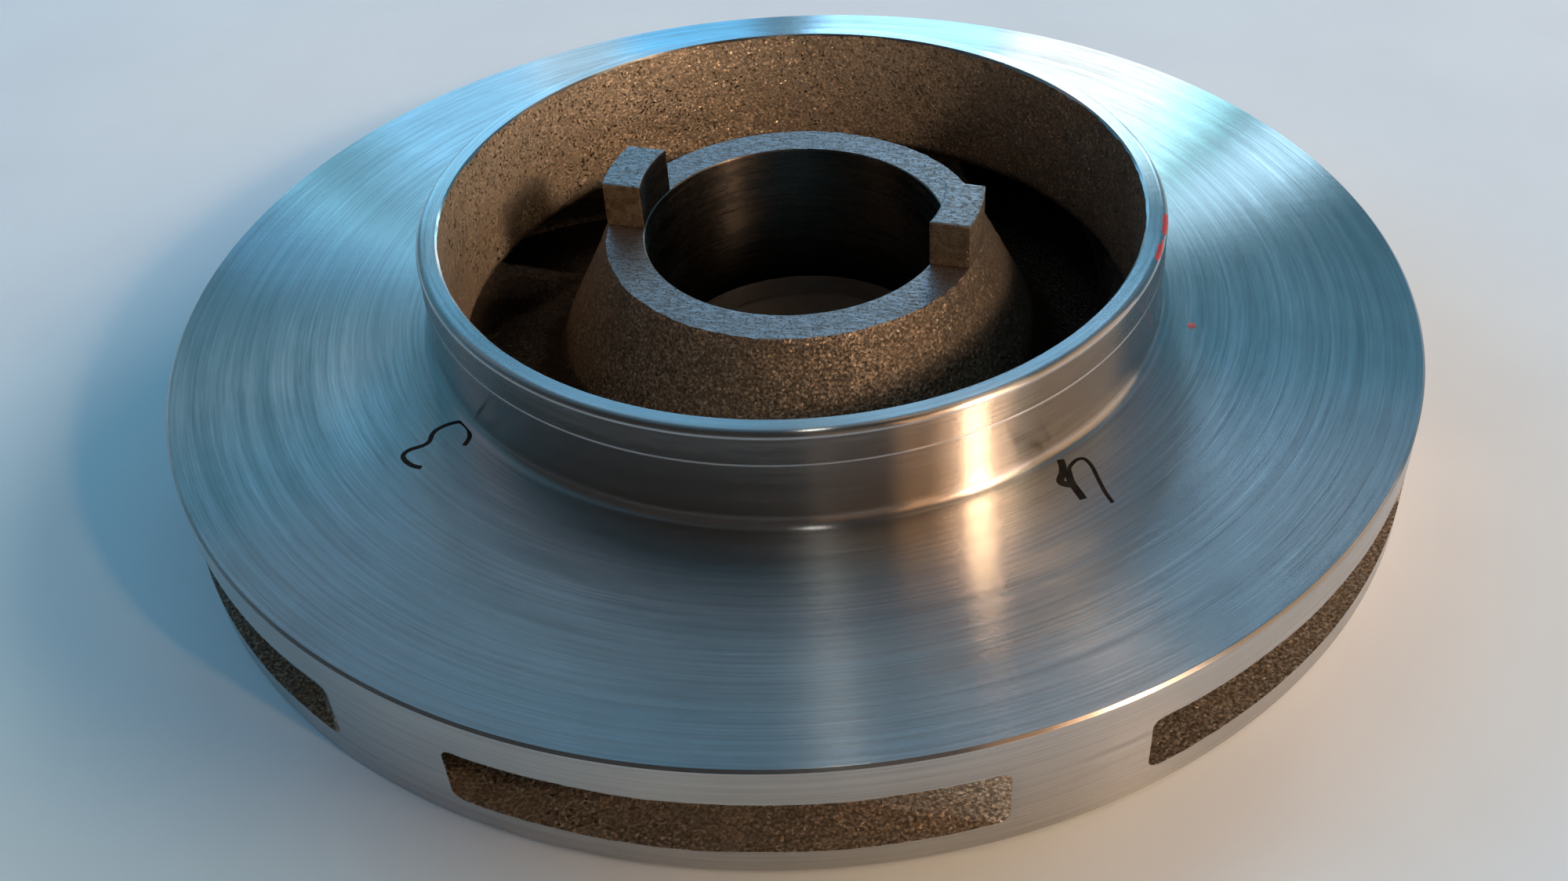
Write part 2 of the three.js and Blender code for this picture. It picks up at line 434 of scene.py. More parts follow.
class ShaderTree(TreeBuilder):
    """A material's tree, with the few texture steps that the finishes share."""

    def __init__(self, name: str) -> None:
        """Makes an empty material.

        Args:
            name: Name of the material.
        """
        self.material = bpy.data.materials.new(name)
        self.material.use_nodes = True
        super().__init__(self.material.node_tree)
        self.tree.nodes.clear()
        self.place = self.add("ShaderNodeTexCoord").outputs["Object"]

    def surface(self, inputs: dict) -> bpy.types.Material:
        """Ends the tree with a metal or paint surface.

        Args:
            inputs: Values and sockets of the surface, by name.

        Returns:
            The finished material.
        """
        shader = self.add("ShaderNodeBsdfPrincipled", inputs)
        self.add("ShaderNodeOutputMaterial", {"Surface": shader.outputs["BSDF"]})
        return self.material

    def polar(self) -> tuple[Socket, Socket, Socket]:
        """Splits the place on the piece into the directions of turning.

        Returns:
            The unit vector away from the shaft axis, the radius, and the distance along a turned
            surface, which grows with both radius and height.
        """
        flat = self.flattened(self.place)
        radius = self.vector("LENGTH", flat)
        return self.vector("NORMALIZE", flat), radius, self.math("ADD", radius, self.height())

    def height(self) -> Socket:
        """Gives the height over the back face."""
        return self.add("ShaderNodeSeparateXYZ", {0: self.place}).outputs["Z"]

    def swirl(self, compass: Socket, along: Socket,
              turns: float, lines: float) -> Socket:
        """Makes a coordinate for marks that run round the shaft.

        Args:
            compass: Unit vector away from the axis.
            along: Distance along the turned surface.
            turns: How fast the pattern changes round the shaft.
            lines: How fast it changes along the surface, for each metre.

        Returns:
            A vector for a noise texture.
        """
        around = self.vector("SCALE", compass, scale=turns)
        step = self.add("ShaderNodeCombineXYZ", {"Z": self.math("MULTIPLY", along, lines)})
        return self.vector("ADD", around, step.outputs[0])

    def noise(self, vector: object, scale: float = 1.0, detail: float = 2.0,
              roughness: float = 0.5) -> Socket:
        """Adds a cloudy texture.

        Args:
            vector: Where it is read.
            scale: Number of features for each unit of the vector.
            detail: Number of finer layers.
            roughness: Strength of the finer layers.

        Returns:
            Its value, around one half.
        """
        node = self.add("ShaderNodeTexNoise", {"Vector": vector, "Scale": scale, "Detail": detail,
                                               "Roughness": roughness})
        return node.outputs["Fac"]

    def spread(self, value: object, low: float, high: float,
               low_to: float = 0.0, high_to: float = 1.0) -> Socket:
        """Stretches a range of values to another, and clamps it.

        Args:
            value: The value that is stretched.
            low: Value that becomes low_to.
            high: Value that becomes high_to.
            low_to: Lowest result.
            high_to: Highest result.

        Returns:
            The stretched value.
        """
        node = self.add("ShaderNodeMapRange", {"Value": value, "From Min": low, "From Max": high,
                                               "To Min": low_to, "To Max": high_to})
        return node.outputs["Result"]

    def weighed(self, share: float, first: object, second: object) -> Socket:
        """Weighs two values against each other.

        Args:
            share: Share of the first value.
            first: First value or socket.
            second: Second value or socket.

        Returns:
            The weighed value.
        """
        return self.math("MULTIPLY_ADD", first, share, self.math("MULTIPLY", second, 1.0 - share))

    def mix(self, share: object, first: object, second: object) -> Socket:
        """Mixes two colours.

        Args:
            share: Share of the second colour.
            first: First colour or socket.
            second: Second colour or socket.

        Returns:
            The mixed colour.
        """
        node = self.add("ShaderNodeMix", data_type="RGBA")
        self.feed(node.inputs["Factor"], share)
        self.feed(node.inputs[6], first)
        self.feed(node.inputs[7], second)
        return node.outputs[2]

    def bump(self, height: object, distance: float, strength: float = 1.0,
             normal: object | None = None) -> Socket:
        """Adds fine relief that is too small for the mesh.

        Args:
            height: Height from zero to one.
            distance: Depth of the relief in metres.
            strength: Share of it that shows.
            normal: Relief that lies underneath, if any.

        Returns:
            The normal with the relief.
        """
        inputs = {"Height": height, "Distance": distance, "Strength": strength}
        if normal is not None:
            inputs["Normal"] = normal
        return self.add("ShaderNodeBump", inputs).outputs["Normal"]


def opaque(colour: Colour) -> tuple[float, float, float, float]:
    """Adds full opacity to a colour."""
    return (*colour, 1.0)


@dataclass(frozen=True)
class TurnedMetal:
    """Bare metal finished on a lathe, with fine rings round the shaft and long soft glints.

    Attributes:
        name: Name of the material.
        pale: Colour of the clean metal.
        dull: Colour where it is lightly tarnished.
        smooth: Roughness of the brightest rings.
        rough: Roughness of the dullest ones.
        glint: How far a glint is drawn out across the rings.
        depth: Depth of the rings.
        chatter: Depth of the faint waves that cross the rings.
        depth_shade: Painted shade, how far the colour darkens towards the back face.
    """

    # Each kind of mark: how fast it changes round the shaft, and how many a metre across holds
    RINGS = (2.5, 4000.0)
    BANDS = (1.5, 900.0)
    DASHES = (14.0, 2600.0)
    WAVES = (55.0, 25.0)
    # Tarnished clouds in a metre, and shares of the first noise where two are weighed
    CLOUDS = 60.0
    CLOUD_SHARE = 0.35
    BAND_SHARE = 0.6
    # Values of a noise between which colour and roughness change
    CONTRAST = (0.35, 0.65)

    name: str = "turned_rings"
    pale: Colour = (0.615, 0.615, 0.605)
    dull: Colour = (0.47, 0.46, 0.45)
    smooth: float = 0.203
    rough: float = 0.273
    glint: float = 1.0
    depth: float = 0.011 * MM
    chatter: float = 0.003 * MM
    depth_shade: float = 0.0

    def material(self) -> bpy.types.Material:
        """Builds the material.

        Returns:
            The turned metal.
        """
        tree = ShaderTree(self.name)
        compass, _, along = tree.polar()
        clouds = tree.noise(tree.place, self.CLOUDS, detail=3.0)
        rings = tree.noise(tree.swirl(compass, along, *self.RINGS), detail=3.0, roughness=0.6)
        bands = tree.noise(tree.swirl(compass, along, *self.BANDS))
        waves = tree.noise(tree.swirl(compass, along, *self.WAVES))
        dashes = tree.noise(tree.swirl(compass, along, *self.DASHES), roughness=0.6)
        worn = tree.weighed(self.CLOUD_SHARE, clouds, rings)
        scatter = tree.weighed(self.BAND_SHARE, bands, dashes)
        clean = tree.mix(tree.spread(worn, *self.CONTRAST), opaque(self.pale), opaque(self.dull))
        # Painted shade: the colour darkens down towards the back face, deep in the bore
        shaded_low = tree.spread(tree.height(), PASSAGE_FLOOR, HUB_FACE, self.depth_shade, 0.0)
        around = tree.vector("CROSS_PRODUCT", SHAFT_AXIS, tree.place)
        return tree.surface({
            "Base Color": tree.mix(shaded_low, clean, opaque(BLACK)),
            "Metallic": 1.0,
            "Roughness": tree.spread(scatter, *self.CONTRAST, self.smooth, self.rough),
            "Anisotropic": self.glint,
            "Anisotropic Rotation": QUARTER_TURN,
            "Tangent": tree.vector("NORMALIZE", around),
            "Normal": tree.bump(waves, self.chatter, normal=tree.bump(rings, self.depth)),
        })


NECK_METAL = TurnedMetal(name="fine_rings", smooth=0.18, rough=0.24, depth=0.006 * MM)
# Its darker colours are partly the bore's own duller finish and partly painted shade in the bore
BORED_METAL = TurnedMetal(name="bored_rings", pale=(0.30, 0.265, 0.23), dull=(0.17, 0.155, 0.14),
                          smooth=0.22, rough=0.32, glint=0.9, depth=0.01 * MM, depth_shade=0.96)


@dataclass(frozen=True)
class MilledMetal:
    """Bare metal faced with a cutter, with straight marks along the tongue of the hub.

    Attributes:
        name: Name of the material.
        pale: Colour of the cut metal.
        dull: Colour of the duller cutter marks.
        pit: Colour of the small open pores.
        roughness: Roughness of the smoothest and of the roughest marks.
        marks_along: How fast the marks change along the tongue, for each metre.
        lines: Number of cutter marks in a metre across it.
        depth: Depth of the marks.
        pores: Share of the noise range that is taken up by pores.
    """

    # Specks in a metre, how a pore sets in among them, and its depth as a share of the marks'
    SPECKS = 2600.0
    PORE_EDGE = 0.06
    PORE_DEPTH = 0.7
    # Values of the marks' noise between which the colour changes
    CONTRAST = (0.4, 0.6)

    name: str = "milled_marks"
    pale: Colour = (0.35, 0.335, 0.34)
    dull: Colour = (0.22, 0.20, 0.19)
    pit: Colour = (0.12, 0.085, 0.07)
    roughness: tuple[float, float] = (0.42, 0.60)
    marks_along: float = 700.0
    lines: float = 2400.0
    depth: float = 0.03 * MM
    pores: float = 0.46

    def material(self) -> bpy.types.Material:
        """Builds the material.

        Returns:
            The milled metal.
        """
        tree = ShaderTree(self.name)
        turned = tree.add("ShaderNodeMapping", {"Vector": tree.place,
                                                "Rotation": (0.0, 0.0, math.radians(-TONGUE_ANGLE))})
        scaled = tree.vector("MULTIPLY", turned.outputs[0], (self.marks_along, self.lines, self.lines))
        marks = tree.noise(scaled, detail=3.0, roughness=0.65)
        speckle = tree.noise(tree.place, self.SPECKS, detail=3.0, roughness=0.7)
        pores = tree.spread(speckle, 1 - self.pores, 1 - self.pores + self.PORE_EDGE)
        shade = tree.mix(tree.spread(marks, *self.CONTRAST), opaque(self.pale), opaque(self.dull))
        relief = tree.bump(marks, self.depth)
        return tree.surface({
            "Base Color": tree.mix(pores, shade, opaque(self.pit)),
            "Metallic": 1.0,
            "Roughness": tree.spread(marks, *NOISE_RANGE, *self.roughness),
            "Normal": tree.bump(tree.math("SUBTRACT", 1.0, pores), self.depth,
                                strength=self.PORE_DEPTH, normal=relief),
        })


FLANK_METAL = MilledMetal(name="milled_flank", pale=(0.50, 0.41, 0.31), dull=(0.28, 0.215, 0.15),
                          pit=(0.11, 0.08, 0.06), roughness=(0.44, 0.62), marks_along=900.0,
                          lines=1100.0, depth=0.05 * MM, pores=0.44)


@dataclass(frozen=True)
class CastSkin:
    """Sand-cast skin: brown, grainy, with small facets that catch the light.

    Attributes:
        bronze: Main colour.
        ochre: Lighter colour of the raised grains.
        soot: Dark colour in the pits.
        stain: Colour of the broad browner patches.
        pale_and_lit: Pale colour of the bright facets, and painted light on the wall of the eye.
        painted_shade_colour: Dark colour of the painted shade on the hub and deep in the passages.
        grain: Number of grains in a metre.
        depth: Depth of the grain that the mesh does not hold.
        roughness: Roughness of the smoothest and of the roughest patches.
        glitter: How far the facets are tilted.
        glints: Share of the facets that are bright.
        wall_light: Share of the pale colour painted on the wall of the eye as painted light.
        hub_shade: Share of the painted shade on the hub.
        deep_shade: Share of the painted shade deep in the passages.
    """

    # Values of the grain's noise between which a pit ends and a crest or a metallic grain sets in
    PITS = (0.42, 0.62)
    CRESTS = (0.56, 0.72)
    METAL_GRAINS = (0.4, 0.65)
    # Metallic share of the pits and of the crests
    METALLIC = (0.3, 0.7)
    # Broad patches in a metre, values of their noise where a stain sets in, and its strength
    PATCHES = 160.0
    PATCH_EDGES = (0.35, 0.75)
    STAIN_SHARE = 0.35
    # Facets in a metre, and the pale colour's share and the extra smoothness of a bright one
    FACETS = 3450.0
    GLINT_PALENESS = 0.6
    GLINT_POLISH = 0.16
    # Shares of the rim's radius, and twice of the throat's, where painted shade and light change
    RIM_FADE = (0.70, 0.92)
    HUB_FADE = (0.86, 0.92)
    WALL_START = (0.92, 0.96)

    bronze: Colour = (0.58, 0.48, 0.38)
    ochre: Colour = (0.88, 0.79, 0.68)
    soot: Colour = (0.16, 0.125, 0.095)
    stain: Colour = (0.38, 0.28, 0.19)
    pale_and_lit: Colour = (0.98, 0.80, 0.60)
    painted_shade_colour: Colour = (0.042, 0.030, 0.021)
    grain: float = 2300.0
    depth: float = 0.16 * MM
    roughness: tuple[float, float] = (0.40, 0.50)
    glitter: float = 0.5
    glints: float = 0.12
    wall_light: float = 0.25
    hub_shade: float = 0.55
    deep_shade: float = 0.95

    def painted_shading(self, tree: ShaderTree) -> tuple[Socket, Socket]:
        """Tells how far painted shade darkens the skin and painted light makes it paler.

        Args:
            tree: The material's tree.

        Returns:
            The painted shade's share of the colour, which is most deep in the passages and none at the
            rim, and the share of the pale colour painted on as light, which only the wall of the eye has.
        """
        radius, height = tree.polar()[1], tree.height()
        rim_fade = [share * RIM_RADIUS for share in self.RIM_FADE]
        hub_fade = [share * EYE_RADIUS_THROAT for share in self.HUB_FADE]
        wall_start = [share * EYE_RADIUS_THROAT for share in self.WALL_START]
        # Painted shade: darker deep in the passages and on the hub, none at the rim
        low_down = tree.spread(height, PASSAGE_CEILING, THROAT_TOP, self.deep_shade, 0.0)
        inward = tree.spread(radius, *rim_fade, 1.0, 0.0)
        hub = tree.spread(radius, *hub_fade, self.hub_shade, 0.0)
        film = tree.math("MAXIMUM", tree.math("MULTIPLY", low_down, inward), hub)
        # Painted light: the wall of the eye above the throat is painted paler
        above = tree.spread(height, PASSAGE_CEILING, THROAT_TOP, 0.0, self.wall_light)
        return film, tree.math("MULTIPLY", above, tree.spread(radius, *wall_start))

    def material(self) -> bpy.types.Material:
        """Builds the material.

        Returns:
            The cast skin.
        """
        tree = ShaderTree("cast_grain")
        # The first share is painted shade, the second painted light on the wall of the eye
        film, wall_lit = self.painted_shading(tree)
        coarse = tree.noise(tree.place, self.grain, detail=3.0, roughness=0.6)
        patch = tree.noise(tree.place, self.PATCHES)
        cells = tree.add("ShaderNodeTexVoronoi", {"Vector": tree.place, "Scale": self.FACETS})
        lean = tree.vector("SUBTRACT", cells.outputs["Color"], (0.5, 0.5, 0.5))
        chance = tree.add("ShaderNodeSeparateColor", {"Color": cells.outputs["Color"]}).outputs["Red"]

        bright = tree.math("GREATER_THAN", chance, 1.0 - self.glints)
        facet = tree.math("MULTIPLY", bright, tree.math("SUBTRACT", 1.0, film))
        body = tree.mix(tree.spread(coarse, *self.PITS), opaque(self.soot), opaque(self.bronze))
        raised = tree.mix(tree.spread(coarse, *self.CRESTS), body, opaque(self.ochre))
        stains = tree.spread(patch, *self.PATCH_EDGES, 0.0, self.STAIN_SHARE)
        stained = tree.mix(stains, raised, opaque(self.stain))
        # Painted light on the wall of the eye
        pale_and_lit = tree.mix(wall_lit, stained, opaque(self.pale_and_lit))
        grains = tree.mix(tree.math("MULTIPLY", facet, self.GLINT_PALENESS), pale_and_lit, opaque(self.pale_and_lit))

        metallic = tree.spread(coarse, *self.METAL_GRAINS, *self.METALLIC)
        dulled = tree.spread(patch, *NOISE_RANGE, *self.roughness)
        tilt = tree.vector("SCALE", lean, scale=self.glitter)
        facets = tree.vector("ADD", tree.bump(coarse, self.depth), tilt)
        return tree.surface({
            "Base Color": tree.mix(film, grains, opaque(self.painted_shade_colour)),
            "Metallic": tree.math("MAXIMUM", metallic, facet),
            "Roughness": tree.math("MULTIPLY_ADD", facet, -self.GLINT_POLISH, dulled),
            "Normal": tree.vector("NORMALIZE", facets),
        })


@dataclass(frozen=True)
class Marking:
    """Ink or paint laid thinly on the metal, a little uneven.

    Attributes:
        name: Name of the material.
        dense: Colour where it is thick.
        thin: Colour where it is thin or rubbed.
        blots: Number of blots in a metre.
        detail: Number of finer layers of the blots.
        fading: Values of the blots' noise between which the thick colour gives way to the thin one.
        roughness: Roughness of the smoothest and of the roughest blots.
        gloss: Strength of its reflections.
        relief: Height of its unevenness.
    """

    name: str
    dense: Colour
    thin: Colour
    blots: float
    detail: float
    fading: tuple[float, float]
    roughness: tuple[float, float]
    gloss: float
    relief: float = 0.01 * MM

    def material(self) -> bpy.types.Material:
        """Builds the material.

        Returns:
            The ink or paint.
        """
        tree = ShaderTree(self.name)
        blots = tree.noise(tree.place, self.blots, detail=self.detail)
        return tree.surface({
            "Base Color": tree.mix(tree.spread(blots, *self.fading), opaque(self.dense), opaque(self.thin)),
            "Roughness": tree.spread(blots, *NOISE_RANGE, *self.roughness),
            "Specular IOR Level": self.gloss,
            "Normal": tree.bump(blots, self.relief),
        })


PEN_INK = Marking(name="pen_ink", dense=(0.004, 0.004, 0.005), thin=(0.025, 0.022, 0.022), blots=900.0,
                  detail=2.0, fading=(0.4, 0.7), roughness=(0.6, 0.8), gloss=0.2)
RED_PAINT = Marking(name="red_paint", dense=(0.55, 0.03, 0.05), thin=(0.30, 0.10, 0.12), blots=1200.0,
                    detail=3.0, fading=(0.4, 0.65), roughness=(0.35, 0.55), gloss=0.5)


@dataclass(frozen=True)
class PaleTable:
    """Matt pale table top.

    Attributes:
        pale: Its colour.
        shade: Slightly darker colour of its faint mottling.
    """

    # Faint mottles in a metre
    MOTTLES = 30.0
    ROUGHNESS = 0.75

    pale: Colour = (0.78, 0.78, 0.78)
    shade: Colour = (0.74, 0.74, 0.745)

    def material(self) -> bpy.types.Material:
        """Builds the material.

        Returns:
            The table top.
        """
        tree = ShaderTree("pale_table")
        mottling = tree.spread(tree.noise(tree.place, self.MOTTLES, detail=3.0), *NOISE_RANGE)
        return tree.surface({
            "Base Color": tree.mix(mottling, opaque(self.pale), opaque(self.shade)),
            "Roughness": self.ROUGHNESS,
            "Specular IOR Level": 0.0,
        })


def put_in_scene(name: str, data: bpy.types.ID) -> bpy.types.Object:
    """Makes an object of a mesh, a light or a camera, and adds it to the scene.

    Args:
        name: Name of the object.
        data: What it shows.

    Returns:
        The object.
    """
    made = bpy.data.objects.new(name, data)
    bpy.context.scene.collection.objects.link(made)
    return made


def add_mark(name: str, mesh: bpy.types.Mesh) -> None:
    """Makes a mesh a mark of ink or paint, which stands for no CAD node.

    Args:
        name: Name of the piece.
        mesh: The mesh, with its place in its vertices.
    """
    made = put_in_scene(name, mesh)
    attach(made, BODY)
    LOG.info("%s: %d faces", made.name, len(mesh.polygons))


class Finishes:
    """The materials of the impeller, made once and handed to every sub-assembly."""

    def __init__(self) -> None:
        """Builds the materials."""
        self.by_finish = {
            Finish.TURNED: TurnedMetal().material(),
            Finish.FINE: NECK_METAL.material(),
            Finish.BORED: BORED_METAL.material(),
            Finish.MILLED: MilledMetal().material(),
            Finish.FLANK: FLANK_METAL.material(),
            Finish.CAST: CastSkin().material(),
        }
        self.ink = PEN_INK.material()
        self.paint = RED_PAINT.material()
        self.table = PaleTable().material()

    def piece(self, mesh: bpy.types.Mesh, finishes: list[Finish], replaced: list[str]) -> None:
        """Makes a mesh a piece of the impeller, which rides on its body.

        Args:
            mesh: The mesh, with its place in its vertices.
            finishes: Finishes in the order of its material slots.
            replaced: CAD nodes that it stands for.
        """
        slots = np.empty(len(mesh.polygons), dtype=np.int32)
        mesh.polygons.foreach_get("material_index", slots)
        mesh.materials.clear()
        for finish in finishes:
            mesh.materials.append(self.by_finish[finish])
        mesh.polygons.foreach_set("material_index", slots)
        made = put_in_scene(mesh.name, mesh)
        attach(made, BODY)
        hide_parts(*replaced)
        LOG.info("%s: %d faces, stands for %s", made.name, len(mesh.polygons), ", ".join(replaced))


def eye_radius(height: float) -> float:
    """Gives the radius of the eye wall, a little less at the throat than at the mouth.

    Args:
        height: Height over the back face.

    Returns:
        The radius there.
    """
    share = (height - THROAT_TOP) / (NECK_TOP - THROAT_TOP)
    return EYE_RADIUS_THROAT + share * (EYE_RADIUS_TOP - EYE_RADIUS_THROAT)


@dataclass
class FrontShroud:
    """The broad turned disc in front of the vanes, up to the foot of the suction neck.

    Attributes:
        rim_height: Height of the face at the rim.
        edge_break: Width of the small chamfer round the rim.
        edge_round: Radius of the rounds on both sides of that chamfer.
        face_inner_radius: Radius where the face meets the round at the neck.
        face_inner_height: Height of the face there.
        neck_round: Radius of the round between face and neck.
        passage_rows: Rows of faces on the ceiling of the flow passage.
        wall_rows: Rows of faces on the eye wall.
    """

    rim_height: float = 16.625 * MM
    edge_break: float = 0.38 * MM
    edge_round: float = 0.08 * MM
    face_inner_radius: float = 50.2 * MM
    face_inner_height: float = 17.5 * MM
    neck_round: float = 1.45 * MM
    passage_rows: int = 34
    wall_rows: int = 12

    def outline(self) -> Outline:
        """Draws the half section.

        Returns:
            The closed outline.
        """
        small = self.edge_round
        slope = math.atan2(self.face_inner_height - self.rim_height,
                           RIM_RADIUS - self.edge_break - self.face_inner_radius)
        made = Outline(RIM_RADIUS, PASSAGE_CEILING)
        made.line(RIM_RADIUS, self.rim_height - self.edge_break, Finish.TURNED)
        made.arc(small, 0, 45, Finish.TURNED, 3)
        made.line(RIM_RADIUS - self.edge_break + small * math.sin(math.radians(45)),
                  self.rim_height - small, Finish.TURNED)
        made.arc(small, 45, 90 - math.degrees(slope), Finish.TURNED, 3)
        made.line(self.face_inner_radius, self.face_inner_height, Finish.TURNED)
        made.arc(self.neck_round, 270, 180, Finish.TURNED, 12)
        made.line(NECK_RADIUS, NECK_FOOT, Finish.TURNED)
        made.line(eye_radius(NECK_FOOT), NECK_FOOT, None)
        made.line(EYE_RADIUS_THROAT, THROAT_TOP, Finish.CAST, self.wall_rows)
        made.arc(THROAT_ROUND, 180, 270, Finish.CAST, 8)
        return made.close(Finish.CAST, self.passage_rows)

    def build(self, finishes: Finishes) -> None:
        """Makes the piece.

        Args:
            finishes: The materials.
        """
        order = [Finish.TURNED, Finish.CAST]
        mesh = RingTurner(self.outline(), RING_SEGMENTS).mesh("shroud_front", order)
        finishes.piece(mesh, order, ["front_shroud"])


@dataclass
class SuctionNeck:
    """The raised ring round the eye, with the wear land that runs in the pump's neck ring.

    Attributes:
        land_radius: Radius of the wear land, slightly under that of the neck.
        groove: Depth of the fine turned line between neck and land.
        groove_width: Width of that line.
        top_round: Radius of the worn outer edge of the mouth.
        burr: Width of the bright burr round the inner edge of the mouth.
        wall_rows: Rows of faces on the eye wall of each piece.
    """

    land_radius: float = 48.67 * MM
    groove: float = 0.1 * MM
    groove_width: float = 0.2 * MM
    top_round: float = 0.9 * MM
    burr: float = 0.25 * MM
    wall_rows: int = 14

    def neck_outline(self) -> Outline:
        """Draws the half section of the neck below the turned line.

        Returns:
            The closed outline.
        """
        made = Outline(NECK_RADIUS, NECK_FOOT)
        made.line(NECK_RADIUS, LAND_FOOT - self.groove_width, Finish.FINE)
        made.line(NECK_RADIUS - self.groove, LAND_FOOT, Finish.FINE)
        made.line(eye_radius(LAND_FOOT), LAND_FOOT, None)
        made.line(eye_radius(NECK_FOOT), NECK_FOOT, Finish.CAST, self.wall_rows)
        return made.close(None)

    def land_outline(self) -> Outline:
        """Draws the half section of the wear land.

        Returns:
            The closed outline.
        """
        made = Outline(NECK_RADIUS - self.groove, LAND_FOOT)
        made.line(self.land_radius, LAND_FOOT + self.groove_width, Finish.FINE)
        made.line(self.land_radius, NECK_TOP - self.top_round, Finish.FINE)
        made.arc(self.top_round, 0, 90, Finish.FINE, 12)
        made.line(EYE_RADIUS_TOP + self.burr, NECK_TOP, Finish.FINE)
        made.line(EYE_RADIUS_TOP, NECK_TOP - self.burr, Finish.FINE)
        made.line(eye_radius(LAND_FOOT), LAND_FOOT, Finish.CAST, self.wall_rows)
        return made.close(None)

    def build(self, finishes: Finishes) -> None:
        """Makes the two pieces.

        Args:
            finishes: The materials.
        """
        order = [Finish.FINE, Finish.CAST]
        neck = RingTurner(self.neck_outline(), RING_SEGMENTS).mesh("neck_ring", order)
        finishes.piece(neck, order, ["suction_neck"])
        land = RingTurner(self.land_outline(), RING_SEGMENTS).mesh("neck_wear_land", order)
        finishes.piece(land, order, ["wear_land"])


@dataclass
class BackShroud:
    """The flat disc behind the vanes, on which the impeller lies.

    Attributes:
        edge_break: Width of the small chamfer round the rim.
        bore_break: Width of the chamfer round the bore.
        passage_rows: Rows of faces on the floor of the flow passage.
    """

    edge_break: float = 0.4 * MM
    bore_break: float = 0.3 * MM
    passage_rows: int = 56

    def outline(self) -> Outline:
        """Draws the half section.

        Returns:
            The closed outline.
        """
        made = Outline(BORE_RELIEF_RADIUS + self.bore_break, 0.0)
        made.line(RIM_RADIUS - self.edge_break, 0.0, Finish.TURNED)
        made.line(RIM_RADIUS, self.edge_break, Finish.TURNED)
        made.line(RIM_RADIUS, PASSAGE_FLOOR, Finish.TURNED)
        made.line(BORE_RELIEF_RADIUS, PASSAGE_FLOOR, Finish.CAST, self.passage_rows)
        made.line(BORE_RELIEF_RADIUS, self.bore_break, Finish.TURNED)
        return made.close(Finish.TURNED)

    def build(self, finishes: Finishes) -> None:
        """Makes the piece.

        Args:
            finishes: The materials.
        """
        order = [Finish.TURNED, Finish.CAST]
        mesh = RingTurner(self.outline(), RING_SEGMENTS).mesh("shroud_back", order)
        finishes.piece(mesh, order, ["back_shroud"])


@dataclass
class Hub:
    """The flared hub inside the eye, with the shaft bore and the milled ring round it.

    Attributes:
        cone_radius: Radius where the cone runs into the round at its foot.
        cone_height: Height of that point.
        relief_height: Height of the step in the bore.
        bore_break: Width of the chamfer at the mouth of the bore.
        face_break: Height of the broken outer edge of the milled ring.
        break_spread: Half the width of that edge, as a share of its height.
        cone_rows: Rows of faces on the cone.
    """

    cone_radius: float = 33.9 * MM
    cone_height: float = 8.3 * MM
    relief_height: float = 10.5 * MM
    bore_break: float = 0.15 * MM
    face_break: float = 0.3 * MM
    break_spread: float = 0.4
    cone_rows: int = 36

    def outline(self) -> Outline:
        """Draws the half section.

        Returns:
            The closed outline.
        """
        width = HUB_FOOT_RADIUS - self.cone_radius
        lean = (self.cone_height - PASSAGE_FLOOR) / width
        made = Outline(HUB_FOOT_RADIUS, PASSAGE_FLOOR)
        made.arc(width, 270, 180, Finish.CAST, 14, flatten=lean)
        spread = self.break_spread * self.face_break
        made.line(HUB_FACE_RADIUS + spread, HUB_FACE - self.face_break, Finish.CAST, self.cone_rows)
        made.line(HUB_FACE_RADIUS - spread, HUB_FACE, Finish.CAST)
        made.line(BORE_RADIUS + self.bore_break, HUB_FACE, Finish.MILLED)
        made.line(BORE_RADIUS, HUB_FACE - self.bore_break, Finish.BORED)
        made.line(BORE_RADIUS, self.relief_height, Finish.BORED)
        made.line(BORE_RELIEF_RADIUS, self.relief_height, Finish.BORED)
        made.line(BORE_RELIEF_RADIUS, PASSAGE_FLOOR, Finish.BORED)
        return made.close(None)

    def build(self, finishes: Finishes) -> None:
        """Makes the piece.

        Args:
            finishes: The materials.
        """
        order = [Finish.CAST, Finish.MILLED, Finish.BORED]
        mesh = RingTurner(self.outline(), HUB_SEGMENTS).mesh("hub_casting", order)
        finishes.piece(mesh, order, ["hub"])


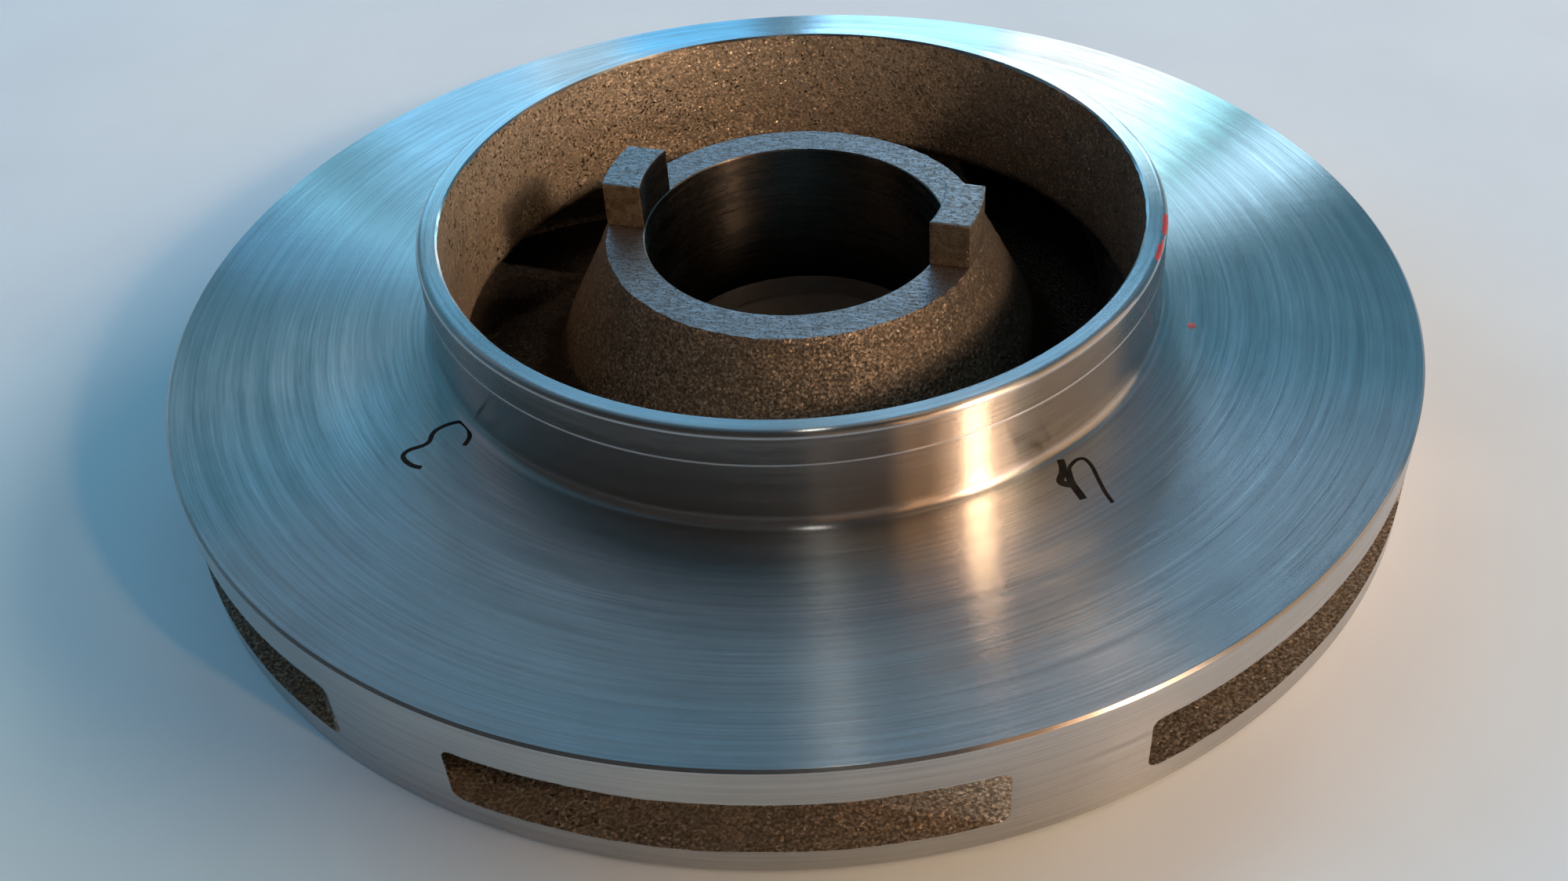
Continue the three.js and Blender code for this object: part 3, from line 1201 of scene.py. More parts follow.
@dataclass
class DrivingLugs:
    """The two ends of the tongue milled across the hub face.

    Attributes:
        half_width: Half the distance between the milled flanks.
        edge_break: Size of the broken edges.
        across: Cells between the flanks.
        through: Cells between bore and outer face.
        upright: Cells in the height.
    """

    # Rows of faces on a broken edge, and least turn of an edge that is broken or shaded as sharp
    BREAK_ROWS = 2
    BREAK_ANGLE = 50.0
    SHARP_ANGLE = 40.0
    # Distance from the outer face within which a point carries relief and a face is cast
    RELIEF_DEPTH = 0.02 * MM
    CAST_DEPTH = 0.5 * MM
    # Least outward share of the normal of an outer face, greatest upward share of a flank's
    FACING = 0.6
    STEEPNESS = 0.5

    ORDER = [Finish.MILLED, Finish.CAST, Finish.BORED, Finish.FLANK]

    half_width: float = 5.06 * MM
    edge_break: float = 0.22 * MM
    across: int = 20
    through: int = 10
    upright: int = 14

    def lattice(self, side: int) -> bpy.types.Mesh:
        """Builds one lug as a closed block of small faces.

        Args:
            side: One for the right lug, minus one for the left one.

        Returns:
            The mesh, before its edges are broken.
        """
        made = bpy.data.meshes.new("lug_block")
        cells = (self.through, self.across, self.upright)
        ids: dict[tuple[int, int, int], int] = {}
        points: list[tuple[float, float, float]] = []
        faces: list[list[int]] = []

        def corner(key: tuple[int, int, int]) -> int:
            """Gives the number of the point at a corner of the lattice, which is made once.

            Args:
                key: The corner's steps outwards, across and upwards.

            Returns:
                The number.
            """
            if key not in ids:
                ids[key] = len(points)
                points.append(self.spot(key, cells, side))
            return ids[key]

        for axis in range(3):
            first, second = [other for other in range(3) if other != axis]
            for end, i, j in product((0, cells[axis]), range(cells[first]), range(cells[second])):
                loop = []
                for right, up in ((0, 0), (1, 0), (1, 1), (0, 1)):
                    key = [0, 0, 0]
                    key[axis], key[first], key[second] = end, i + right, j + up
                    loop.append(corner(tuple(key)))
                faces.append(loop)
        made.from_pydata(points, [], faces)
        return made

    def spot(self, key: tuple[int, int, int], cells: tuple[int, int, int],
             side: int) -> tuple[float, float, float]:
        """Places one corner of the lattice.

        Args:
            key: Its steps outwards, across and upwards.
            cells: Number of cells each way.
            side: One for the right lug, minus one for the left one.

        Returns:
            The point.
        """
        out, over, up = (step / count for step, count in zip(key, cells))
        offset = self.half_width * (2 * over - 1)
        inner = math.sqrt(BORE_RADIUS ** 2 - offset ** 2)
        outer = math.sqrt(HUB_FACE_RADIUS ** 2 - offset ** 2)
        reach = side * (inner + out * (outer - inner))
        turn = math.radians(TONGUE_ANGLE)
        return (reach * math.cos(turn) - offset * math.sin(turn),
                reach * math.sin(turn) + offset * math.cos(turn),
                HUB_FACE + up * (LUG_TOP - HUB_FACE))

    def finish_faces(self, mesh: bpy.types.Mesh) -> None:
        """Roughens the cast outer face and sorts the faces by finish.

        Args:
            mesh: The lug with broken edges.
        """
        spots = np.array([vertex.co for vertex in mesh.vertices])
        radii = np.hypot(spots[:, 0], spots[:, 1])
        cast = radii > HUB_FACE_RADIUS - self.RELIEF_DEPTH
        lift = SKIN.heights(spots) * cast
        spots[:, :2] += spots[:, :2] / radii[:, None] * lift[:, None]
        mesh.vertices.foreach_set("co", spots.ravel())
        for face in mesh.polygons:
            face.material_index = self.ORDER.index(self.finish_of(face))
            face.use_smooth = True
        mesh.update()

    def finish_of(self, face: bpy.types.MeshPolygon) -> Finish:
        """Tells which finish a face of a lug has.

        Args:
            face: The face.

        Returns:
            Cast outside, bored inside, flank on the upright sides and milled on top.
        """
        ring = np.hypot(*face.center[:2])
        outward = Vector((*face.center[:2], 0.0)).normalized().dot(face.normal)
        if outward > self.FACING and ring > HUB_FACE_RADIUS - self.CAST_DEPTH:
            return Finish.CAST
        if outward < -self.FACING:
            return Finish.BORED
        if abs(face.normal.z) < self.STEEPNESS:
            return Finish.FLANK
        return Finish.MILLED

    def build(self, finishes: Finishes) -> None:
        """Makes the two pieces.

        Args:
            finishes: The materials.
        """
        for side, word in ((-1, "left"), (1, "right")):
            block = put_in_scene("lug_block", self.lattice(side))
            recalculate(block.data)
            bevel = block.modifiers.new("broken_edges", "BEVEL")
            bevel.width = self.edge_break
            bevel.segments = self.BREAK_ROWS
            bevel.limit_method = "ANGLE"
            bevel.angle_limit = math.radians(self.BREAK_ANGLE)
            mesh = baked(block, f"lug_{word}")
            self.finish_faces(mesh)
            mesh.set_sharp_from_angle(angle=math.radians(self.SHARP_ANGLE))
            finishes.piece(mesh, self.ORDER, [f"drive_lug_{word}"])


def recalculate(mesh: bpy.types.Mesh) -> None:
    """Turns the faces of a closed mesh outwards.

    Args:
        mesh: The mesh.
    """
    work = bmesh.new()
    work.from_mesh(mesh)
    bmesh.ops.recalc_face_normals(work, faces=work.faces)
    work.to_mesh(mesh)
    work.free()


def baked(source: bpy.types.Object, name: str) -> bpy.types.Mesh:
    """Turns an object with modifiers into a plain mesh and removes the object.

    Args:
        source: The object.
        name: Name of the new mesh.

    Returns:
        The plain mesh.
    """
    bpy.context.view_layer.update()
    graph = bpy.context.evaluated_depsgraph_get()
    mesh = bpy.data.meshes.new_from_object(source.evaluated_get(graph))
    source.modifiers.clear()
    start = source.data
    bpy.data.objects.remove(source)
    bpy.data.meshes.remove(start)
    mesh.name = name
    return mesh


class GeometryTree(TreeBuilder):
    """A geometry tree with named inputs."""

    def __init__(self, name: str) -> None:
        """Makes an empty tree with a geometry output.

        Args:
            name: Name of the tree.
        """
        super().__init__(bpy.data.node_groups.new(name, "GeometryNodeTree"))
        self.face = self.tree.interface
        self.face.new_socket("Geometry", in_out="INPUT", socket_type="NodeSocketGeometry")
        self.face.new_socket("Geometry", in_out="OUTPUT", socket_type="NodeSocketGeometry")
        self.given = self.add("NodeGroupInput")

    def parameter(self, name: str, kind: str = "Float") -> Socket:
        """Adds a named input.

        Args:
            name: Name of the input.
            kind: Kind of socket.

        Returns:
            The socket inside the tree.
        """
        self.face.new_socket(name, in_out="INPUT", socket_type=f"NodeSocket{kind}")
        return self.given.outputs[name]

    def blend(self, share: object, first: object, second: object) -> Socket:
        """Goes from the first value to the second as the share goes from zero to one."""
        span = self.math("SUBTRACT", second, first)
        return self.math("MULTIPLY_ADD", span, share, first)

    def finish(self, geometry: Socket) -> None:
        """Links the result to the output."""
        self.add("NodeGroupOutput", {"Geometry": geometry})

    def run(self, name: str, values: dict[str, object],
            start: bpy.types.Mesh | None = None) -> bpy.types.Mesh:
        """Runs the tree once and gives its result as a plain mesh.

        Args:
            name: Name of the mesh.
            values: Values of the named inputs.
            start: Geometry that the tree starts from, if any.

        Returns:
            The mesh.
        """
        carrier = put_in_scene(f"{name}_maker", start or bpy.data.meshes.new(name))
        modifier = carrier.modifiers.new("maker", "NODES")
        modifier.node_group = self.tree
        for item in self.face.items_tree:
            if item.item_type == "SOCKET" and item.in_out == "INPUT" and item.name in values:
                modifier[item.identifier] = values[item.name]
        return baked(carrier, name)


@dataclass
class VaneSet:
    """The seven backward-curved vanes between the shrouds.

    Attributes:
        count: Number of vanes.
        first_tail: Angle of the first tail at the rim.
        second_tail: Angle of the tail before it, which stands slightly further off than the rest.
        nose_radius: Radius of the leading edge at the floor.
        throat_nose_radius: Radius of the leading edge at the ceiling.
        inlet_angle: Blade angle against the tangent at the nose.
        outlet_angle: Blade angle at the rim.
        nose_thickness: Thickness at the nose.
        tail_thickness: Thickness at the rim.
        corner_round: Size of the cast round between vane and shroud.
        bite: Depth to which a vane runs into the shrouds.
        unevenness: Height of the cast unevenness of its faces.
        tail_inset: Distance of the tails under the skin of the rim, so that no two faces share a place.
    """

    # Points along, across and up a vane, and the power by which they crowd towards its nose
    GRID = (96, 13, 15)
    CROWDING = 1.5
    # Uneven spots in a metre, their finer layers and how strong those are
    LUMPS = 330.0
    LUMP_DETAIL = 3.0
    LUMP_ROUGHNESS = 0.62
    # Distance from the rim over which the unevenness fades, and within which a face is a tail's
    FADE = 1.2 * MM
    TAIL_DEPTH = 0.05 * MM
    SHARP_ANGLE = 50.0

    count: int = 7
    first_tail: float = -71.5
    second_tail: float = -124.6
    nose_radius: float = 40.5 * MM
    throat_nose_radius: float = 46.5 * MM
    inlet_angle: float = 27.0
    outlet_angle: float = 22.0
    nose_thickness: float = 3.6 * MM
    tail_thickness: float = 6.1 * MM
    corner_round: float = 0.8 * MM
    bite: float = 0.3 * MM
    unevenness: float = 0.28 * MM
    tail_inset: float = 0.01 * MM

    def values(self, finishes: Finishes) -> dict[str, object]:
        """Gives the values of the tree's inputs.

        Args:
            finishes: The materials.

        Returns:
            The values by name.
        """
        pitch = (360.0 - (self.first_tail - self.second_tail)) / (self.count - 1)
        return {
            "Vanes": self.count,
            "First Tail": math.radians(self.first_tail),
            "Pitch": math.radians(pitch),
            "Floor": PASSAGE_FLOOR,
            "Ceiling": PASSAGE_CEILING,
            "Rim Radius": RIM_RADIUS - self.tail_inset,
            "Nose Radius": self.nose_radius,
            "Throat Nose Radius": self.throat_nose_radius,
            "Inlet Slope": math.tan(math.radians(self.inlet_angle)),
            "Outlet Slope": math.tan(math.radians(self.outlet_angle)),
            "Nose Thickness": self.nose_thickness,
            "Tail Thickness": self.tail_thickness,
            "Corner Round": self.corner_round,
            "Bite": self.bite,
            "Unevenness": self.unevenness,
            "Cast Skin": finishes.by_finish[Finish.CAST],
            "Turned Metal": finishes.by_finish[Finish.TURNED],
        }

    @staticmethod
    def swept(tree: GeometryTree, radius: object, slope_base: object, slope_rate: object) -> object:
        """Gives the angle that a vane has swept from the axis out to a radius.

        The blade's slope against the tangent is slope_base + slope_rate * radius, and the angle
        is the integral of one over radius times slope.

        Args:
            tree: The tree.
            radius: The radius.
            slope_base: Slope that a radius of zero would have.
            slope_rate: Change of the slope for each metre.

        Returns:
            The angle, up to a constant.
        """
        slope = tree.math("MULTIPLY_ADD", slope_rate, radius, slope_base)
        ratio = tree.math("DIVIDE", radius, slope)
        natural = tree.math("LOGARITHM", ratio, math.e)
        return tree.math("DIVIDE", natural, slope_base)

    def tree(self) -> GeometryTree:
        """Builds the geometry tree: one vane by its rule, repeated round the shaft.

        Returns:
            The tree.
        """
        t = GeometryTree("vane_set")
        count = t.parameter("Vanes", "Int")
        first, pitch = t.parameter("First Tail"), t.parameter("Pitch")
        floor, ceiling = t.parameter("Floor"), t.parameter("Ceiling")
        rim, nose = t.parameter("Rim Radius"), t.parameter("Nose Radius")
        throat_nose = t.parameter("Throat Nose Radius")
        inlet, outlet = t.parameter("Inlet Slope"), t.parameter("Outlet Slope")
        thin, thick = t.parameter("Nose Thickness"), t.parameter("Tail Thickness")
        corner, bite = t.parameter("Corner Round"), t.parameter("Bite")
        uneven = t.parameter("Unevenness")
        skin, metal = t.parameter("Cast Skin", "Material"), t.parameter("Turned Metal", "Material")

        along, across, upwards = self.GRID
        block = t.add("GeometryNodeMeshCube", {"Size": (1.0, 1.0, 1.0), "Vertices X": along,
                                               "Vertices Y": across, "Vertices Z": upwards})
        spot = t.add("ShaderNodeSeparateXYZ", {0: t.add("GeometryNodeInputPosition").outputs[0]})
        length = t.math("POWER", t.math("ADD", spot.outputs["X"], 0.5, clamp=True), self.CROWDING)
        side = t.math("MULTIPLY", spot.outputs["Y"], 2.0)
        rise = t.math("ADD", spot.outputs["Z"], 0.5)

        height = t.blend(rise, t.math("SUBTRACT", floor, bite), t.math("ADD", ceiling, bite))
        start = t.blend(rise, nose, throat_nose)
        radius = t.blend(length, start, rim)

        span = t.math("SUBTRACT", rim, nose)
        rate = t.math("DIVIDE", t.math("SUBTRACT", outlet, inlet), span)
        base = t.math("SUBTRACT", inlet, t.math("MULTIPLY", rate, nose))
        slope = t.math("MULTIPLY_ADD", rate, radius, base)
        sine = t.math("SINE", t.math("ARCTANGENT", slope))
        sweep = t.math("SUBTRACT", self.swept(t, radius, base, rate), self.swept(t, rim, base, rate))

        share = t.math("DIVIDE", t.math("SUBTRACT", radius, nose), span, clamp=True)
        half = t.math("MULTIPLY", t.blend(share, thin, thick), 0.5)
        run = t.math("DIVIDE", t.math("SUBTRACT", radius, start), sine)
        blunt = self.round_up(t, t.math("DIVIDE", run, half, clamp=True))
        below = t.math("SUBTRACT", height, floor)
        above = t.math("SUBTRACT", ceiling, height)
        nearest = t.math("DIVIDE", t.math("MINIMUM", below, above), corner, clamp=True)
        flare = t.math("MULTIPLY", corner, t.math("SUBTRACT", 1.0, self.round_up(t, nearest)))
        wide = t.math("ADD", t.math("MULTIPLY", half, blunt), flare)
        offset = t.math("DIVIDE", wide, t.math("MULTIPLY", radius, sine))
        angle = t.math("MULTIPLY_ADD", side, offset, sweep)
        place = t.add("ShaderNodeCombineXYZ", {
            "X": t.math("MULTIPLY", radius, t.math("COSINE", angle)),
            "Y": t.math("MULTIPLY", radius, t.math("SINE", angle)),
            "Z": height,
        })
        vane = t.add("GeometryNodeSetPosition", {"Geometry": block.outputs["Mesh"],
                                                 "Position": place.outputs[0]})

        ring = t.add("GeometryNodeMeshLine", {"Count": count, "Offset": (0.0, 0.0, 0.0)})
        index = t.add("GeometryNodeInputIndex").outputs[0]
        turn = t.add("ShaderNodeCombineXYZ", {"Z": t.math("MULTIPLY_ADD", index, pitch, first)})
        copies = t.add("GeometryNodeInstanceOnPoints", {
            "Points": ring.outputs["Mesh"],
            "Instance": vane.outputs["Geometry"],
            "Rotation": turn.outputs[0],
        })
        real = t.add("GeometryNodeRealizeInstances", {"Geometry": copies.outputs["Instances"]})
        rough = self.roughened(t, real.outputs["Geometry"], rim, uneven)
        return self.dressed(t, rough, rim, skin, metal)

    @staticmethod
    def round_up(tree: GeometryTree, share: object) -> object:
        """Gives the height of a quarter circle over a share of its width."""
        rest = tree.math("SUBTRACT", 1.0, share)
        return tree.math("SQRT", tree.math("SUBTRACT", 1.0, tree.math("MULTIPLY", rest, rest)))

    @staticmethod
    def reach(tree: GeometryTree) -> object:
        """Gives the radius of each point."""
        place = tree.add("GeometryNodeInputPosition").outputs[0]
        return tree.vector("LENGTH", tree.flattened(place))

    def roughened(self, tree: GeometryTree, geometry: object, rim: object, uneven: object) -> object:
        """Gives the faces their cast unevenness, which fades out at the turned rim.

        Args:
            tree: The tree.
            geometry: The vanes.
            rim: Radius of the rim.
            uneven: Height of the unevenness.

        Returns:
            The uneven vanes.
        """
        margin = tree.math("SUBTRACT", rim, self.reach(tree))
        fade = tree.math("DIVIDE", margin, self.FADE, clamp=True)
        lumps = tree.add("ShaderNodeTexNoise", {"Scale": self.LUMPS, "Detail": self.LUMP_DETAIL,
                                                "Roughness": self.LUMP_ROUGHNESS},
                         noise_dimensions="3D")
        lift = tree.math("SUBTRACT", lumps.outputs["Fac"], 0.5)
        size = tree.math("MULTIPLY", tree.math("MULTIPLY", lift, uneven), fade)
        normal = tree.add("GeometryNodeInputNormal").outputs[0]
        move = tree.vector("SCALE", normal, scale=size)
        moved = tree.add("GeometryNodeSetPosition", {"Geometry": geometry, "Offset": move})
        return moved.outputs["Geometry"]

    def dressed(self, tree: GeometryTree, geometry: object, rim: object,
                skin: object, metal: object) -> GeometryTree:
        """Ends the tree with smooth faces and the two materials.

        Args:
            tree: The tree.
            geometry: The vanes.
            rim: Radius of the rim.
            skin: Material of the cast faces.
            metal: Material of the tails, which are turned flush with the rim.

        Returns:
            The tree.
        """
        smooth = tree.add("GeometryNodeSetShadeSmooth", {"Geometry": geometry})
        cast = tree.add("GeometryNodeSetMaterial", {"Geometry": smooth.outputs["Geometry"],
                                                    "Material": skin})
        edge = tree.math("SUBTRACT", rim, self.TAIL_DEPTH)
        tails = tree.math("GREATER_THAN", self.reach(tree), edge)
        done = tree.add("GeometryNodeSetMaterial", {"Geometry": cast.outputs["Geometry"],
                                                    "Selection": tails, "Material": metal})
        tree.finish(done.outputs["Geometry"])
        return tree

    def build(self, finishes: Finishes) -> None:
        """Makes the piece.

        Args:
            finishes: The materials.
        """
        mesh = self.tree().run("vane_ring", self.values(finishes))
        recalculate(mesh)
        mesh.set_sharp_from_angle(angle=math.radians(self.SHARP_ANGLE))
        turned = list(mesh.materials).index(finishes.by_finish[Finish.TURNED])
        for face in mesh.polygons:
            face.material_index = int(face.material_index == turned)
        nodes = [f"vane_{number + 1}" for number in range(self.count)]
        finishes.piece(mesh, [Finish.CAST, Finish.TURNED], nodes)


@dataclass(frozen=True)
class PenStroke:
    """One stroke of a handwritten number.

    Attributes:
        name: Name of the piece.
        width: Width of the line.
        spots: Angle in degrees and radius in millimetres of each point on the shroud's face.
    """

    name: str
    width: float
    spots: tuple[tuple[float, float], ...]


@dataclass
class PenNumbers:
    """Two plain digits, a four and a three, written with a felt pen close to the neck.

    Attributes:
        strokes: The strokes.
        thickness: Height of the ink over the metal.
    """

    # Points along a stroke and sides of its section
    STEPS = 60
    SIDES = 12
    # How steeply a stroke grows from its ends, and its width there as a share of the full one
    TAPER = 3.0
    END_WIDTH = 0.4
    # Swells in a metre, how much one widens the line, and the share between two of them
    SWELLS = 700.0
    SWELL = 0.7
    SLIMMEST = 0.65

    strokes: tuple[PenStroke, ...] = (
        PenStroke("ink_four_arch", 0.5 * MM, (
            (-54.8, 59.2), (-54.3, 57.6), (-53.7, 56.3), (-53.0, 55.0), (-52.2, 53.6), (-51.8, 52.5),
            (-51.9, 51.8), (-52.6, 51.5), (-53.6, 51.6), (-54.5, 51.9), (-55.2, 52.5))),
        PenStroke("ink_four_stem", 0.95 * MM, (
            (-54.9, 52.0), (-55.6, 52.9), (-56.2, 53.9), (-56.5, 54.9), (-56.8, 56.0), (-57.0, 56.7))),
        PenStroke("ink_four_bar", 0.98 * MM, (
            (-54.3, 50.2), (-54.9, 51.1), (-55.7, 51.9), (-56.5, 52.4), (-57.1, 52.9), (-57.0, 53.5),
            (-56.4, 54.1))),
        PenStroke("ink_three", 0.62 * MM, (
            (-143.1, 57.5), (-143.8, 58.0), (-144.7, 58.3), (-145.7, 58.4), (-146.5, 58.2),
            (-146.9, 57.6), (-146.9, 56.8), (-146.7, 56.0), (-146.6, 55.2), (-146.9, 54.5),
            (-147.6, 54.0), (-148.2, 53.3), (-148.4, 52.5), (-148.4, 51.6), (-148.2, 50.8),
            (-147.8, 50.1), (-146.9, 49.9), (-145.6, 49.9), (-144.4, 50.3), (-143.6, 50.9),
            (-143.0, 51.8))),
    )
    thickness: float = 0.018 * MM

    def spot(self, angle: float, radius: float) -> Vector:
        """Gives a point of the face.

        Args:
            angle: Its angle round the shaft in degrees.
            radius: Its distance from the shaft axis.

        Returns:
            The point.
        """
        turn = math.radians(angle)
        inner, outer = FrontShroud.face_inner_radius, RIM_RADIUS - FrontShroud.edge_break
        rise = FrontShroud.rim_height - FrontShroud.face_inner_height
        height = FrontShroud.face_inner_height + rise * (radius - inner) / (outer - inner)
        return Vector((radius * math.cos(turn), radius * math.sin(turn), height))

    def tree(self) -> GeometryTree:
        """Builds the tree that lays a flat line of ink along a path.

        Returns:
            The tree.
        """
        t = GeometryTree("pen_line")
        width, thickness = t.parameter("Width"), t.parameter("Thickness")
        ink = t.parameter("Ink", "Material")
        path = t.add("GeometryNodeMeshToCurve", {"Mesh": t.given.outputs["Geometry"]})
        spline = t.add("GeometryNodeCurveSplineType", {"Curve": path.outputs["Curve"]},
                       spline_type="CATMULL_ROM")
        fine = t.add("GeometryNodeResampleCurve", {"Curve": spline.outputs["Curve"],
                                                   "Count": self.STEPS})
        share = t.add("GeometryNodeSplineParameter").outputs["Factor"]
        arch = t.math("SINE", t.math("MULTIPLY", share, math.pi))
        ends = t.math("MULTIPLY", arch, self.TAPER, clamp=True)
        wobble = t.add("ShaderNodeTexNoise", {"Scale": self.SWELLS, "Detail": 1.0})
        swell = t.math("MULTIPLY_ADD", wobble.outputs["Fac"], self.SWELL, self.SLIMMEST)
        full = t.math("MULTIPLY_ADD", ends, 1.0 - self.END_WIDTH, self.END_WIDTH)
        size = t.math("MULTIPLY", full, swell)
        swollen = t.add("GeometryNodeSetCurveRadius", {"Curve": fine.outputs["Curve"], "Radius": size})
        upright = t.add("GeometryNodeSetCurveNormal", {"Curve": swollen.outputs["Curve"]}, mode="Z_UP")
        oval = t.add("GeometryNodeCurvePrimitiveCircle", {"Resolution": self.SIDES, "Radius": 0.5})
        scale = t.add("ShaderNodeCombineXYZ", {"X": width, "Y": thickness, "Z": 1.0})
        flat = t.add("GeometryNodeTransform", {"Geometry": oval.outputs["Curve"],
                                               "Scale": scale.outputs[0]})
        line = t.add("GeometryNodeCurveToMesh", {"Curve": upright.outputs["Curve"],
                                                 "Profile Curve": flat.outputs["Geometry"],
                                                 "Fill Caps": True})
        real = t.add("GeometryNodeRealizeInstances", {"Geometry": line.outputs["Mesh"]})
        done = t.add("GeometryNodeSetMaterial", {"Geometry": real.outputs["Geometry"], "Material": ink})
        t.finish(done.outputs["Geometry"])
        return t

    def build(self, finishes: Finishes) -> None:
        """Makes one piece for each stroke.

        Args:
            finishes: The materials.
        """
        tree = self.tree()
        for stroke in self.strokes:
            points = [self.spot(angle, radius * MM) for angle, radius in stroke.spots]
            path = bpy.data.meshes.new("pen_path")
            path.from_pydata(points, [(number, number + 1) for number in range(len(points) - 1)], [])
            mesh = tree.run(stroke.name, {"Width": stroke.width, "Thickness": 2 * self.thickness,
                                          "Ink": finishes.ink}, path)
            add_mark(stroke.name, mesh)


@dataclass(frozen=True)
class Dab:
    """One small spot of paint on a turned surface.

    Attributes:
        name: Name of the piece.
        angle: Angle of its middle round the shaft, in degrees.
        reach: Distance of its middle along the section, from the round at the neck or from its top.
        half_round: Half its length round the shaft.
        half_along: Half its length along the section.
        ragged: How uneven its outline is, as a share of its size.
    """

    name: str
    angle: float
    reach: float
    half_round: float
    half_along: float
    ragged: float


@dataclass
class PaintDabs:
    """The small red marks beside the eye: a dot on the face and a smear on the edge of the neck.

    Attributes:
        face_dabs: Dabs on the face, with the reach counted from the round at the neck outwards.
        edge_dabs: Dabs on the outer edge of the neck's top, with the reach counted down the wall.
        film: Height of the paint in the middle of a dab.
        sink: Depth of its underside in the metal.
        rings: Rows of faces from the middle of a dab to its edge.
        spokes: Faces round a dab.
        edge_round: Radius of the round at the neck's top, on which the smear lies.
    """

    # How fast the ragged outline changes round a dab
    LOBES = 1.6

    face_dabs: tuple[Dab, ...] = (
        Dab("paint_dot", -17.9, 2.9 * MM, 0.75 * MM, 0.55 * MM, 0.15),
    )
    edge_dabs: tuple[Dab, ...] = (
        Dab("paint_smear", -14.0, 0.7 * MM, 2.9 * MM, 1.0 * MM, 0.35),
        Dab("paint_smear_end", -21.5, 0.5 * MM, 2.6 * MM, 0.45 * MM, 0.4),
    )
    film: float = 0.02 * MM
    sink: float = 0.012 * MM
    rings: int = 8
    spokes: int = 40
    edge_round: float = SuctionNeck.top_round

    def face_spot(self, angle: float, reach: float, lift: float) -> tuple[float, float, float]:
        """Gives a point over the face.

        Args:
            angle: Its angle round the shaft in radians.
            reach: Its distance outwards from the round at the neck.
            lift: Its height over the metal.

        Returns:
            The point.
        """
        inner, top = FrontShroud.face_inner_radius, FrontShroud.face_inner_height
        radius = inner + reach
        height = top - (top - FrontShroud.rim_height) / (RIM_RADIUS - inner) * reach + lift
        return radius * math.cos(angle), radius * math.sin(angle), height

    def edge_spot(self, angle: float, reach: float, lift: float) -> tuple[float, float, float]:
        """Gives a point over the outer edge of the neck's top.

        Args:
            angle: Its angle round the shaft in radians.
            reach: Its distance over the round and down the wall, from the top.
            lift: Its height over the metal.

        Returns:
            The point.
        """
        land_radius = SuctionNeck.land_radius
        bend = min(max(reach / self.edge_round, 0.0), math.pi / 2)
        flat = min(reach, 0.0)
        down = max(reach - self.edge_round * math.pi / 2, 0.0)
        away = self.edge_round + lift
        radius = land_radius - self.edge_round + away * math.sin(bend) + flat
        height = NECK_TOP - self.edge_round + away * math.cos(bend) - down
        return radius * math.cos(angle), radius * math.sin(angle), height

    def mesh(self, dab: Dab, on_face: bool) -> bpy.types.Mesh:
        """Builds a dab as a closed lens that follows the metal.

        Args:
            dab: The dab.
            on_face: Whether it lies on the face rather than on the edge of the neck.

        Returns:
            The mesh.
        """
        spot = self.face_spot if on_face else self.edge_spot
        radius = FrontShroud.face_inner_radius + dab.reach if on_face else SuctionNeck.land_radius
        points = []
        for side, height in ((1, self.film), (-1, -self.sink)):
            for ring in range(self.rings + 1):
                share = ring / self.rings
                for spoke in range(self.spokes if ring else 1):
                    turn = 2 * math.pi * spoke / self.spokes
                    way = (self.LOBES * math.cos(turn), self.LOBES * math.sin(turn), dab.angle)
                    wobble = noise.noise(way)
                    size = share * (1 + dab.ragged * 2 * wobble)
                    angle = math.radians(dab.angle) + size * dab.half_round * math.cos(turn) / radius
                    lift = height * (1 - share ** 2) - self.sink * share ** 2
                    if side == 1 or ring < self.rings:
                        points.append(spot(angle, dab.reach + size * dab.half_along * math.sin(turn), lift))
        made = bpy.data.meshes.new(dab.name)
        made.from_pydata(points, [], self.faces())
        recalculate(made)
        made.polygons.foreach_set("use_smooth", np.ones(len(made.polygons), dtype=bool))
        return made

    def faces(self) -> list[tuple[int, ...]]:
        """Joins the points of both sides of a lens, which share those of their outer ring.

        Returns:
            The faces, as numbers of points.
        """
        faces = []
        rim = 1 + (self.rings - 1) * self.spokes
        below = 1 + self.rings * self.spokes
        for first, last in ((0, rim), (below, rim)):
            for ring in range(self.rings):
                for spoke in range(self.spokes):
                    after = (spoke + 1) % self.spokes
                    outer = first + 1 + ring * self.spokes if ring < self.rings - 1 else last
                    if ring == 0:
                        faces.append((first, outer + spoke, outer + after))
                        continue
                    inner = first + 1 + (ring - 1) * self.spokes
                    faces.append((inner + spoke, outer + spoke, outer + after, inner + after))
        return faces

    def build(self, finishes: Finishes) -> None:
        """Makes one piece for each dab.

        Args:
            finishes: The materials.
        """
        for dabs, on_face in ((self.face_dabs, True), (self.edge_dabs, False)):
            for dab in dabs:
                mesh = self.mesh(dab, on_face)
                mesh.materials.append(finishes.paint)
                add_mark(dab.name, mesh)


def place_light(data: bpy.types.Light, aim: Vector, azimuth: float, elevation: float,
                distance: float, lean: float = 0.0) -> bpy.types.Object:
    """Stands a light round the impeller and turns it towards a point.

    Args:
        data: The light.
        aim: Point that it faces.
        azimuth: Direction it stands in, in degrees from +X.
        elevation: Its height above the horizon, in degrees.
        distance: Its distance.
        lean: How far its upright edges lean towards a greater azimuth, in degrees.

    Returns:
        The light's object, which the camera doesn't see.
    """
    turn, rise = math.radians(azimuth), math.radians(elevation)
    away = Vector((math.cos(rise) * math.cos(turn), math.cos(rise) * math.sin(turn), math.sin(rise)))
    lamp = put_in_scene(data.name, data)
    lamp.location = aim + distance * away
    upright = away.to_track_quat("Z", "Y")
    lamp.rotation_euler = (upright @ Quaternion((0.0, 0.0, 1.0), -math.radians(lean))).to_euler()
    lamp.visible_camera = False
    return lamp


